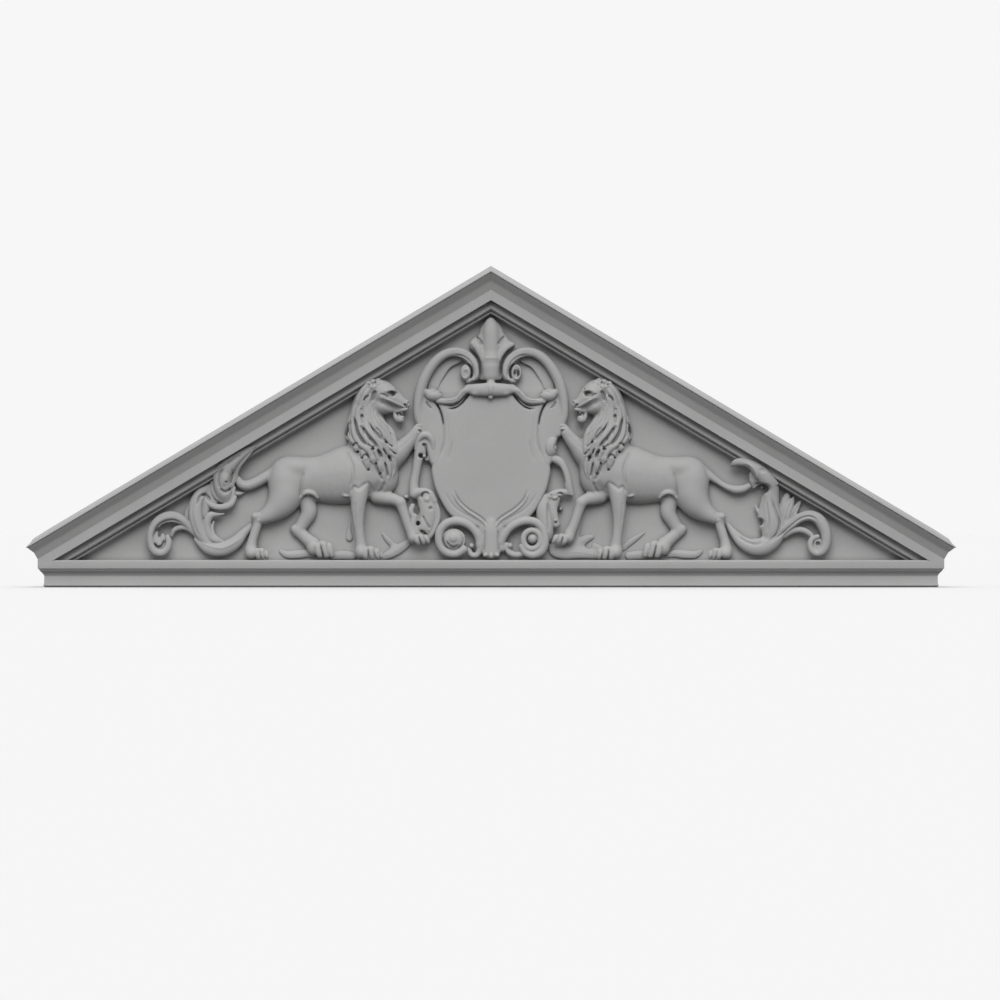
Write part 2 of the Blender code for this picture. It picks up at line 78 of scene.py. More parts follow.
# Light: the sun, the floor's grey, and levels of the sky from straight down (0) to straight up (1)
KEY_STRENGTH, KEY_TILT, KEY_SPREAD = 2.15, 50, 40
FLOOR = 0.665
SKY = ((0.40, 0.04), (0.46, 0.93), (0.535, 0.93), (0.56, 0.35), (0.75, 0.9), (0.95, 1.1))

# Camera: the photograph's width in pixels, of which one is a part, and the column and row in it of
# the part's middle and underside. CAMERA_FAR and FLOOR_SIZE are metres, SENSOR is millimetres
PICTURE = 1000
MIDDLE_COLUMN, UNDERSIDE_ROW = 491, 587
CAMERA_FAR = 20.0
SENSOR = 36
FLOOR_SIZE = 60


def y_of(out):
    """Y of a plane that lies out in front of the fascia."""
    return MID_OUT - out


WALL_Y = y_of(-TYMPANUM_RECESS)


def rake_line(x):
    """Height of the cornice's upper edge."""
    return END_HEIGHT + (HALF - abs(x)) * math.tan(RAKE)


def smooth_path(knots, steps=5):
    """Catmull-Rom points through the knots, whatever each knot holds."""
    knots = [tuple(float(c) for c in k) for k in knots]
    if len(knots) == 2:
        steps = 1
    path = []
    for i in range(len(knots) - 1):
        before = knots[max(i - 1, 0)]
        after = knots[min(i + 2, len(knots) - 1)]
        for s in range(steps):
            t = s / steps
            weights = (-0.5 * t**3 + t**2 - 0.5 * t, 1.5 * t**3 - 2.5 * t**2 + 1,
                       -1.5 * t**3 + 2 * t**2 + 0.5 * t, 0.5 * t**3 - 0.5 * t**2)
            four = zip(before, knots[i], knots[i + 1], after)
            path.append(tuple(sum(w * c for w, c in zip(weights, column)) for column in four))
    return path + [knots[-1]]


def is_empty(cuts):
    """Whether a window of the grid holds no points."""
    return min(cut.stop - cut.start for cut in cuts) <= 0


def nearest(P, Q, start, end):
    """How far along a stretch each point's nearest spot lies, 0 to 1, and its distance squared."""
    (au, av), (bu, bv) = start, end
    eu, ev = bu - au, bv - av
    t = np.clip(((P - au) * eu + (Q - av) * ev) / max(eu * eu + ev * ev, 1e-9), 0, 1)
    return t, (P - au - t * eu) ** 2 + (Q - av - t * ev) ** 2


class Clay:
    """A block of clay on a grid, negative inside. Axes: u along the wall, w out from it, v up."""

    FAR = 6.0
    OVER_ALL = 99

    def __init__(self, u_range, v_range, top, cell, bend=None):
        self.cell = cell
        self.low = np.array((u_range[0], -ROOT, v_range[0]), np.float64)
        high = np.array((u_range[1], top, v_range[1]), np.float64)
        self.shape = tuple(int(n) for n in np.ceil((high - self.low) / cell) + 1)
        self.field = np.full(self.shape, self.FAR, np.float32)
        self.axes = [(self.low[i] + cell * np.arange(n)).astype(np.float32) for i, n in enumerate(self.shape)]
        self.bend = bend or (lambda u: u)

    def bent(self, knots):
        """The knots moved along the wall by the clay's bend."""
        return [(self.bend(k[0]), *k[1:]) for k in knots]

    def window(self, low, high):
        """Slices of the grid between two corners (u, w, v), and the coordinates there."""
        cuts = []
        for i in range(3):
            first = int(math.floor((low[i] - self.low[i]) / self.cell))
            last = int(math.ceil((high[i] - self.low[i]) / self.cell)) + 1
            cuts.append(slice(max(first, 0), min(max(last, 0), self.shape[i])))
        shapes = ((-1, 1, 1), (1, -1, 1), (1, 1, -1))
        return tuple(cuts), [self.axes[i][cuts[i]].reshape(shapes[i]) for i in range(3)]

    def merge(self, cuts, distance, blend, carve=False):
        """Smooth union of the field and a distance, or smooth cut."""
        here = self.field[cuts]
        if here.size == 0:
            return
        a, b = (-here, distance) if carve else (here, distance)
        low = np.minimum(a, b)
        if blend > 0:
            h = np.maximum(blend - np.abs(a - b), 0) / blend
            low = low - h * h * blend * 0.25
        self.field[cuts] = -low if carve else low

    def limb(self, knots, flat=1.0, blend=2.0, carve=False, steps=5):
        """A round limb through knots (u, v, out, radius); flat scales its thickness off the wall."""
        path = smooth_path(self.bent(knots), steps)
        reach = blend + 2 * self.cell + 1.0
        pts = np.array([(p[0], p[2], p[1]) for p in path])
        radii = np.array([max(p[3], THINNEST) for p in path])

        def margin(radius):
            return (radius + reach) * np.array((1, max(flat, 0.3), 1)) + np.array((0, reach, 0))

        cuts, _ = self.window(pts.min(0) - margin(radii.max()), pts.max(0) + margin(radii.max()))
        if is_empty(cuts):
            return
        whole = np.full([s.stop - s.start for s in cuts], self.FAR, np.float32)
        scale = np.array((1, 1 / flat, 1))
        for i in range(len(pts) - 1):
            a, b = pts[i], pts[i + 1]
            r0, r1 = radii[i], radii[i + 1]
            around = margin(max(r0, r1))
            part, (U, W, V) = self.window(np.minimum(a, b) - around, np.maximum(a, b) + around)
            if is_empty(part):
                continue
            a, b = a * scale, b * scale
            ab = b - a
            length2 = max(float(ab @ ab), 1e-6)
            pu, pw, pv = U - a[0], W / flat - a[1], V - a[2]
            t = np.clip((pu * ab[0] + pw * ab[1] + pv * ab[2]) / length2, 0, 1).astype(np.float32)
            d = np.sqrt((pu - t * ab[0]) ** 2 + (pw - t * ab[1]) ** 2 + (pv - t * ab[2]) ** 2)
            d = (d - (r0 + t * (r1 - r0))).astype(np.float32)
            if flat < 1:
                d *= 0.5 + 0.5 * flat
            inner = tuple(slice(p.start - c.start, p.stop - c.start) for p, c in zip(part, cuts))
            np.minimum(whole[inner], d, out=whole[inner])
        self.merge(cuts, whole, blend, carve)

    def ball(self, u, v, out, half_u, half_v, half_out, tilt, blend):
        """An ellipsoid; tilt turns it in the plane of the wall, in degrees."""
        u = self.bend(u)
        reach = max(half_u, half_v) + blend + 3
        cuts, (U, W, V) = self.window((u - reach, out - half_out - blend - 3, v - reach),
                                      (u + reach, out + half_out + blend + 3, v + reach))
        if is_empty(cuts):
            return
        c, s = math.cos(math.radians(tilt)), math.sin(math.radians(tilt))
        du, dv = U - u, V - v
        pu, pv, pw = du * c + dv * s, dv * c - du * s, W - out
        k0 = np.sqrt((pu / half_u) ** 2 + (pv / half_v) ** 2 + (pw / half_out) ** 2)
        k1 = np.sqrt((pu / half_u**2) ** 2 + (pv / half_v**2) ** 2 + (pw / half_out**2) ** 2)
        d = (k0 * (k0 - 1) / np.maximum(k1, 1e-4)).astype(np.float32)
        self.merge(cuts, d, blend)

    def plate(self, outline, out, edge, blend=0.8, dish=None):
        """A flat outline (u, v) with rounded edges; dish(U, V, distance inside it) shapes its face."""
        pts = np.array(smooth_path(self.bent(outline + outline[:1]), 5)[:-1], np.float32)
        low, high = pts.min(0) - 4, pts.max(0) + 4
        cuts, (U, W, V) = self.window((low[0], -ROOT - 4, low[1]), (high[0], out + 6, high[1]))
        P, Q = U[:, 0, :], V[0, :, :]
        flat2 = np.full(np.broadcast(P, Q).shape, 1e9, np.float32)
        inside = np.zeros(flat2.shape, bool)
        for start, end in zip(pts, np.roll(pts, -1, 0)):
            flat2 = np.minimum(flat2, nearest(P, Q, start, end)[1])
            (au, av), (bu, bv) = start, end
            rise = bv - av if abs(bv - av) > 1e-9 else 1e-9
            inside ^= ((av > Q) != (bv > Q)) & (P < au + (Q - av) * (bu - au) / rise)
        side = np.sqrt(flat2) * np.where(inside, -1, 1)
        face = np.full(side.shape, out, np.float32)
        if dish is not None:
            face = face + dish(P, Q, side)
        x = side[:, None, :] + edge
        y = W - face[:, None, :] + edge
        d = np.minimum(np.maximum(x, y), 0) + np.sqrt(np.maximum(x, 0) ** 2 + np.maximum(y, 0) ** 2) - edge
        self.merge(cuts, d.astype(np.float32), blend)

    def stroke(self, knots, depth):
        """Cut a groove along knots (u, v, half width), or raise a ridge where depth is below 0."""
        path = np.array(smooth_path(self.bent(knots), 4))
        reach = path[:, 2].max() * 2.6 + 0.5
        low, high = path[:, :2].min(0) - reach, path[:, :2].max(0) + reach
        cuts, (U, W, V) = self.window((low[0], -ROOT, low[1]), (high[0], self.OVER_ALL, high[1]))
        if is_empty(cuts):
            return
        P, Q = U[:, 0, :], V[0, :, :]
        best = np.zeros(np.broadcast(P, Q).shape, np.float32)
        for i, (start, end) in enumerate(zip(path, path[1:])):
            t, far2 = nearest(P, Q, start[:2], end[:2])
            width = np.maximum(start[2] + t * (end[2] - start[2]), 0.2)
            along = (i + t) / (len(path) - 1)
            taper = np.clip(np.minimum(along, 1 - along) / 0.16, 0.12, 1)
            best = np.maximum(best, np.exp(-far2 / width**2) * taper)
        self.field[cuts] += (depth * best)[:, None, :]

    def drill(self, u, v, radius, depth, squash=1.0, tilt=0.0):
        """A drilled hollow, straight into the surface."""
        u = self.bend(u)
        reach = radius * 2.2 + 1
        cuts, (U, W, V) = self.window((u - reach, -ROOT, v - reach), (u + reach, self.OVER_ALL, v + reach))
        P, Q = U[:, 0, :] - u, V[0, :, :] - v
        c, s = math.cos(math.radians(tilt)), math.sin(math.radians(tilt))
        a, b = P * c + Q * s, (Q * c - P * s) / squash
        self.field[cuts] += (depth * np.exp(-((a * a + b * b) / radius**2) ** 1.6))[:, None, :]

    def mesh(self, name, side=1):
        """The clay's skin as a piece of the relief, mirrored where side is -1."""
        # Nothing is inside on the grid's border, so the skin closes
        field = self.field
        for end in (0, -1):
            for border in (field[end], field[:, end], field[:, :, end]):
                np.maximum(border, self.cell * 0.5, out=border)
        points, quads = whole_forms(*skin(field))
        points = relaxed(points, quads) * self.cell + self.low
        place = np.empty_like(points)
        place[:, 0] = side * points[:, 0] * PART
        place[:, 1] = WALL_Y - points[:, 1] * PART
        place[:, 2] = LEDGE_Z + points[:, 2] * PART
        if side > 0:
            quads = quads[:, ::-1]
        return mesh_object(name, place, quads)


def skin(field):
    """Surface nets: one point in each cell that the surface crosses, one quad on each crossed edge."""
    inside = field < 0
    corners = [inside[i:inside.shape[0] - 1 + i, j:inside.shape[1] - 1 + j, k:inside.shape[2] - 1 + k]
               for i in (0, 1) for j in (0, 1) for k in (0, 1)]
    some = np.logical_or.reduce(corners)
    every = np.logical_and.reduce(corners)
    cells = np.argwhere(some & ~every)
    index = np.full(some.shape, -1, np.int64)
    index[tuple(cells.T)] = np.arange(len(cells))
    total = np.zeros((len(cells), 3))
    count = np.zeros(len(cells))
    for axis in range(3):
        others = [a for a in range(3) if a != axis]
        for p in (0, 1):
            for q in (0, 1):
                start = cells.copy()
                start[:, others[0]] += p
                start[:, others[1]] += q
                stop = start.copy()
                stop[:, axis] += 1
                a, b = field[tuple(start.T)], field[tuple(stop.T)]
                cross = (a < 0) != (b < 0)
                t = np.where(cross, a / np.where(cross, a - b, 1), 0)
                spot = start.astype(float)
                spot[:, axis] += t
                total += spot * cross[:, None]
                count += cross
    points = total / count[:, None]
    quads = []
    for axis in range(3):
        others = [a for a in range(3) if a != axis]
        low = [slice(1, -1)] * 3
        low[axis] = slice(0, -1)
        high = list(low)
        high[axis] = slice(1, None)
        a, b = inside[tuple(low)], inside[tuple(high)]
        for sign in (0, 1):
            edges = np.argwhere(~a & b if sign else a & ~b)
            edges[:, others[0]] += 1
            edges[:, others[1]] += 1
            ring = []
            for p, q in ((-1, -1), (0, -1), (0, 0), (-1, 0)):
                cell = edges.copy()
                cell[:, others[0]] += p
                cell[:, others[1]] += q
                ring.append(index[tuple(cell.T)])
            faces = np.stack(ring, 1)
            turn = sign ^ (axis == 1)
            quads.append(faces[:, ::-1] if turn else faces)
    return points, np.concatenate(quads)


def whole_forms(points, quads):
    """Leave out loose crumbs of clay that strokes and drills cut free."""
    mark, before = np.arange(len(points)), None
    while not np.array_equal(mark, before):
        before, mark = mark, mark.copy()
        least = before[quads].min(axis=1)
        for i in range(4):
            np.minimum.at(mark, quads[:, i], least)
        mark = mark[mark]
    home = mark[quads[:, 0]]
    used, quads = np.unique(quads[np.bincount(home)[home] >= CRUMB], return_inverse=True)
    return points[used], quads.reshape(-1, 4)


def relaxed(points, quads):
    """Even out the grid's small steps: once inwards, and a little back so that nothing shrinks."""
    count = np.zeros(len(points))
    for i in range(4):
        np.add.at(count, quads[:, i], 2)
    for weight in (0.5, -0.35):
        total = np.zeros_like(points)
        for i in range(4):
            for j in ((i + 1) % 4, (i + 3) % 4):
                for axis in range(3):
                    total[:, axis] += np.bincount(quads[:, i], points[quads[:, j], axis], len(points))
        points = points + weight * (total / count[:, None] - points)
    return points


def mesh_object(name, points, faces):
    """A smooth object from points and quads, thinned where it has too many triangles."""
    mesh = bpy.data.meshes.new(name)
    faces = np.asarray(faces)
    mesh.vertices.add(len(points))
    mesh.vertices.foreach_set("co", np.asarray(points, np.float32).ravel())
    mesh.loops.add(faces.size)
    mesh.loops.foreach_set("vertex_index", faces.astype(np.int32).ravel())
    mesh.polygons.add(len(faces))
    mesh.polygons.foreach_set("loop_start", np.arange(0, faces.size, 4, dtype=np.int32))
    mesh.update(calc_edges=True)
    mesh.validate()
    obj = bpy.data.objects.new(name, mesh)
    bpy.context.scene.collection.objects.link(obj)
    share = MOST_TRIANGLES / (2 * len(faces))
    if share < 1:
        obj.modifiers.new("thin", "DECIMATE").ratio = share
        obj.data = bpy.data.meshes.new_from_object(obj.evaluated_get(bpy.context.evaluated_depsgraph_get()))
        obj.modifiers.clear()
        bpy.data.meshes.remove(mesh)
    obj.data.shade_smooth()
    return obj


def relief_map(clay):
    """Height of the clay's front over the wall, for each u and v of the grid."""
    inside = clay.field < 0
    last = clay.shape[1] - 1 - np.argmax(inside[:, ::-1, :], axis=1)
    return np.where(inside.any(axis=1), clay.axes[1][last], -ROOT)


def laid(clay, ground, knots, sink):
    """Knots (u, v, radius) laid on the front of the clay, each sunk by a share of its radius."""
    path = smooth_path(clay.bent(knots), 4)
    heights = []
    for u, v, _ in path:
        i = int(np.clip(round((u - clay.low[0]) / clay.cell), 0, clay.shape[0] - 1))
        k = int(np.clip(round((v - clay.low[2]) / clay.cell), 0, clay.shape[2] - 1))
        heights.append(max(float(ground[i, k]), 0.5))
    for _ in range(3):
        heights = [(heights[max(i - 1, 0)] + 2 * h + heights[min(i + 1, len(heights) - 1)]) / 4
                   for i, h in enumerate(heights)]
    return [(u, v, h - sink * r, r) for (u, v, r), h in zip(path, heights)]


def lay_limb(clay, ground, knots, sink, blend):
    """A limb laid on the front of the clay; its knots are bent once, when they are laid."""
    bend, path = clay.bend, laid(clay, ground, knots, sink)
    clay.bend = lambda u: u
    clay.limb(path, 1, blend, steps=1)
    clay.bend = bend


def lion_trunk(clay):
    """Rump, belly, shoulder and chest."""
    clay.limb([(200, 81, 2, 21), (181, 81.5, 1, 21.6), (166, 81, 1, 24), (152, 83, 1, 27.2),
               (140, 86, 1, 29), (126, 88, 1, 27)], 0.66, 3)
    clay.ball(205, 75, 4, 18, 27, 16, -6, 4)
    clay.ball(207, 60, 6, 13.5, 17, 13, 20, 4)
    clay.ball(195, 93, 4, 15, 9, 12.5, 12, 5)
    clay.ball(130, 87, 5, 15.5, 25, 16, 8, 4)
    clay.ball(112, 89, 2, 18, 24, 17, 14, 4)
    clay.ball(105, 78, 2, 11, 14, 11, 30, 6)
    # Folds of the trunk: flank, shoulder, chest and the top of the foreleg
    clay.stroke([(184, 94, 3.4), (187, 86, 3.4), (189.2, 74, 3), (190.1, 66.7, 2)], 0.7)
    clay.stroke([(145.1, 110.2, 1.2), (141.5, 101.8, 1.6), (138.1, 92, 1.8), (138.4, 82.1, 1.6),
                 (140.1, 71.6, 1.2)], 1.8)
    clay.stroke([(119.6, 61.8, 1), (112.8, 65.3, 1.5), (107.8, 73, 1.6), (106.7, 78.2, 1.1)], 1.8)
    clay.stroke([(120.7, 73.7, 3), (116.5, 69.5, 4), (112.3, 76.5, 3)], 1.2)
    for i in range(5):
        u = 147 + 7.5 * i
        clay.stroke([(u, 87 - i, 1.8), (u + 1, 78 - i, 2.2), (u + 0.5, 66, 1.6)], 0.4)
    clay.limb([(190, 61.8, 10, 1.2), (186.6, 66.1, 12.4, 1.9), (182.1, 67.5, 13.4, 2.2),
               (177.4, 65.9, 13, 1.9), (173.7, 61.8, 11, 1)], 1, 2.0)
    clay.stroke([(188.7, 59.7, 1), (184.5, 63.2, 1.2), (178.2, 62.8, 1)], 1.2)
    clay.ball(145.2, 64.2, 13, 3.6, 1.7, 3, 12, 1.4)


def paw(clay, toes, body):
    """A paw: a rounded pad and toes, each given by its knuckle, its tip and its half width."""
    clay.ball(*body, 0, 2.4)
    for knuckle_u, knuckle_v, tip_u, tip_v, out, r in toes:
        clay.limb([(knuckle_u + 1.6 * r, knuckle_v - 0.3 * r, out - 3, 1.1 * r),
                   (knuckle_u, knuckle_v, out, r * 1.16),
                   (tip_u * 0.6 + knuckle_u * 0.4, tip_v * 0.6 + knuckle_v * 0.4, out + 0.8, r * 1.12),
                   (tip_u, tip_v, out, r)], 0.95, 0.5)
    for one, two in zip(toes, toes[1:]):
        top = ((one[0] + two[0]) / 2, (one[1] + two[1]) / 2 + 1)
        foot = ((one[2] + two[2]) / 2, (one[3] + two[3]) / 2 - 2)
        clay.stroke([(*top, 0.5), ((top[0] + foot[0]) / 2, (top[1] + foot[1]) / 2, 0.8), (*foot, 0.8)], 0.9)


def lion_legs(clay):
    """Hind legs and forelegs, from the wall outwards."""
    # Far hind leg
    clay.limb([(184, 66, 1, 10), (183.5, 57, 2, 8.6), (182.5, 47, 3, 8), (188, 37, 3, 6.6),
               (193, 29.5, 3, 6.1)], 0.9, 1.6)
    clay.limb([(193.4, 29.5, 3, 6.1), (186, 22.5, 4, 5.9), (178, 16, 5, 6.8)], 0.95, 1.6)
    clay.ball(197.4, 31.4, 3, 3.4, 4.2, 5, 30, 1.6)
    paw(clay, ((173.6, 13.4, 171, 5.4, 11.5, 3.4), (167.6, 15.6, 164.4, 5.4, 12, 3.3),
               (162, 14, 159.4, 5.4, 10.5, 3.0)), (176.5, 12, 5, 7.6, 7.6, 8.4))
    # Near hind leg
    clay.limb([(206, 65, 6, 14.6), (212, 54, 7.4, 12.6), (221, 46, 9, 8.8), (229, 42.3, 9, 6.4),
               (234, 42, 9, 5)], 0.92, 5)
    clay.limb([(235, 43, 9, 4.6), (233.7, 36, 9, 4.4), (236, 28, 9, 4.5), (238.6, 19, 9, 4.7),
               (240, 11, 9, 6)], 1, 1.6)
    clay.ball(235.6, 43.4, 10, 3.8, 3.3, 4.8, 20, 1.4)
    clay.ball(231.4, 40.4, 11, 2.6, 2.0, 3, 0, 1.6)
    clay.stroke([(228, 47.4, 1.2), (231.6, 44.4, 1.2), (232, 40, 1.0)], 0.7)
    clay.stroke([(225.9, 37.9, 0.9), (214.7, 37.2, 1.1), (204.9, 41.4, 1.1), (197.9, 47.1, 1),
                 (192.2, 52.7, 0.8)], 0.8)
    clay.stroke([(186.9, 87.8, 1.2), (188.7, 77.9, 1.5), (189.9, 69.5, 1.3), (191.3, 63.2, 0.9)], 1.3)
    paw(clay, ((233.4, 8.6, 232, 3.0, 15, 3.0), (229, 9.0, 227.6, 3.0, 15, 2.7),
               (225.2, 7.6, 224, 2.8, 14, 2.3)), (239.4, 6.8, 10, 6.6, 6.8, 9))
    # Near foreleg
    clay.limb([(128, 86, 8, 9), (131, 70, 12.6, 8.8), (132.6, 55, 13.6, 7.4), (132.6, 41, 13.4, 5.8),
               (131.8, 30, 13, 4.9), (130.4, 19, 12.5, 5.1), (129.4, 10, 12, 6.4)], 0.95, 3)
    clay.stroke([(140.1, 66.7, 1.1), (136.8, 73, 1.6), (132.6, 71.2, 1.8), (128, 74.4, 1.8),
                 (122.8, 78.2, 1.2)], 1.3)
    clay.stroke([(122.8, 78.2, 1), (120.7, 73, 1.4), (121.5, 64.6, 1)], 1.0)
    clay.ball(137, 66, 13, 3.8, 5.2, 4.8, 10, 1.6)
    clay.ball(134, 63.2, 15, 2.4, 2.4, 2.6, 0, 1.2)
    clay.stroke([(136, 58, 1.0), (136, 47, 1.2), (135, 36, 1.0)], 0.6)
    clay.stroke([(130, 52, 1.0), (130.4, 40, 1.1), (129.6, 28, 1.0)], 0.4)
    paw(clay, ((126, 9.6, 125, 3.4, 17.5, 3.3), (120, 10.4, 118.6, 3.4, 17.5, 3.2),
               (114.6, 8.6, 113, 3.2, 16, 2.9), (110.8, 6.4, 109.8, 2.8, 13, 2.1)),
        (129.4, 7.6, 12, 6.4, 7.2, 9.4))
    # Bent foreleg
    clay.limb([(114, 64, 4, 8), (105, 62, 6, 7), (97, 60.4, 8, 5.8), (91, 57.6, 9, 5.6)], 0.95, 2)
    clay.limb([(90.4, 57, 9, 5.4), (86.6, 46, 9, 4.8), (82.4, 34, 9, 4.9), (79, 27, 9, 5.6)], 0.95, 1.4)
    paw(clay, ((75, 22.4, 72.6, 17.6, 13.5, 2.8), (70, 23.4, 67.4, 18.2, 13.5, 2.7),
               (65.4, 23, 63, 18.6, 12.5, 2.3)), (78, 22.4, 9, 5.2, 6, 7))
    # Raised foreleg
    clay.limb([(103, 99, 2, 13), (94, 106.4, 5, 11), (86.4, 113.6, 7, 8.6), (79, 122, 9, 6.4),
               (74, 129.4, 10, 5.2), (71.2, 134, 10, 3.8)], 0.9, 3)
    clay.stroke([(73, 129.8, 0.8), (69.9, 128.2, 0.9), (67.4, 125.6, 0.7)], 2.2)
    clay.stroke([(74.4, 132.7, 0.6), (71.6, 133.2, 0.7), (69.3, 131.8, 0.5)], 1.0)
    clay.stroke([(92.6, 110.2, 1.2), (84.2, 117.2, 1.4), (77.2, 125.6, 1)], 0.5)


def lion_head(clay):
    """Skull, muzzle, open jaw and eye."""
    clay.limb([(109, 167.2, 8.4, 12.8), (101, 164, 10, 10), (94.4, 160.4, 11, 7.4),
               (88.8, 157.2, 11.6, 5.3), (85.2, 156, 11.6, 4.4)], 1, 2)
    clay.ball(109.5, 155.6, 7, 10.6, 10.6, 11, 0, 2)
    clay.limb([(110, 156, 7, 10.4), (104, 153.8, 8, 7.6), (98, 152.4, 8.6, 4.8), (92, 151.4, 9.6, 3.6),
               (87, 151.8, 10.6, 2.8)], 1, 1.4)
    clay.ball(83.8, 156.6, 11, 2.7, 3.0, 5, 0, 0.8)
    # The muzzle's upper plane ends in a ridge from the cheekbone to the lip
    clay.stroke([(111.2, 162.4, 1), (105.1, 161.2, 1.2), (97.4, 157.5, 1.3), (90.5, 154.3, 1.2),
                 (86, 152, 0.9)], -1.1)
    clay.stroke([(111.2, 157.4, 1.6), (105.1, 155.1, 2.4), (97.4, 152, 2.4), (91.3, 150.3, 1.6)], 1.5)
    # Upper lip, lower jaw, chin and teeth
    clay.limb([(97.4, 148.5, 9, 1.4), (92.8, 149.1, 11, 1.8), (88.2, 150.3, 13, 2),
               (85.2, 150.8, 13, 2)], 1, 0.8)
    clay.limb([(96.4, 147, 9, 1.7), (95.4, 143.6, 9.4, 2.3), (93, 140.6, 9.8, 3.2)], 1, 0.8)
    clay.ball(90.5, 140.4, 10, 4.3, 4.2, 5.4, 0, 0.8)
    clay.ball(89, 142.6, 13, 2.4, 1.6, 2, 0, 0.6)
    clay.limb([(89.3, 149.1, 13, 1), (89.2, 145.8, 12.4, 0.5)], 1, 0.3)
    clay.limb([(92.1, 143.6, 12.4, 0.9), (91.9, 146.3, 12.4, 0.5)], 1, 0.3)
    # Brow, eye and nostrils
    clay.limb([(107.4, 167.9, 18.4, 1.8), (102.8, 169, 20, 2.3), (97.4, 169.2, 19.4, 2),
               (94.8, 167.9, 16.6, 1.4)], 1, 1.2)
    clay.drill(99.2, 166, 3.2, 5.2, 0.8, 8)
    clay.ball(100.9, 165.2, 16.2, 2.0, 1.2, 1.6, 0, 0.4)
    clay.stroke([(110.4, 165.8, 0.6), (107.4, 165.2, 0.9), (104.3, 163.5, 1), (101.3, 162.4, 0.7)], 1.9)
    clay.drill(94.5, 170.6, 0.9, 1.4)
    clay.stroke([(108.1, 162.4, 0.7), (103.6, 161.1, 0.8), (99, 161.1, 0.7)], 0.7)
    clay.drill(86, 155.1, 1.2, 3.4, 0.7, 30)
    clay.drill(82.4, 156.8, 1.1, 3.4)
    clay.stroke([(85, 152, 0.6), (84.3, 153.6, 0.7), (83.3, 155.5, 0.6)], 1.4)


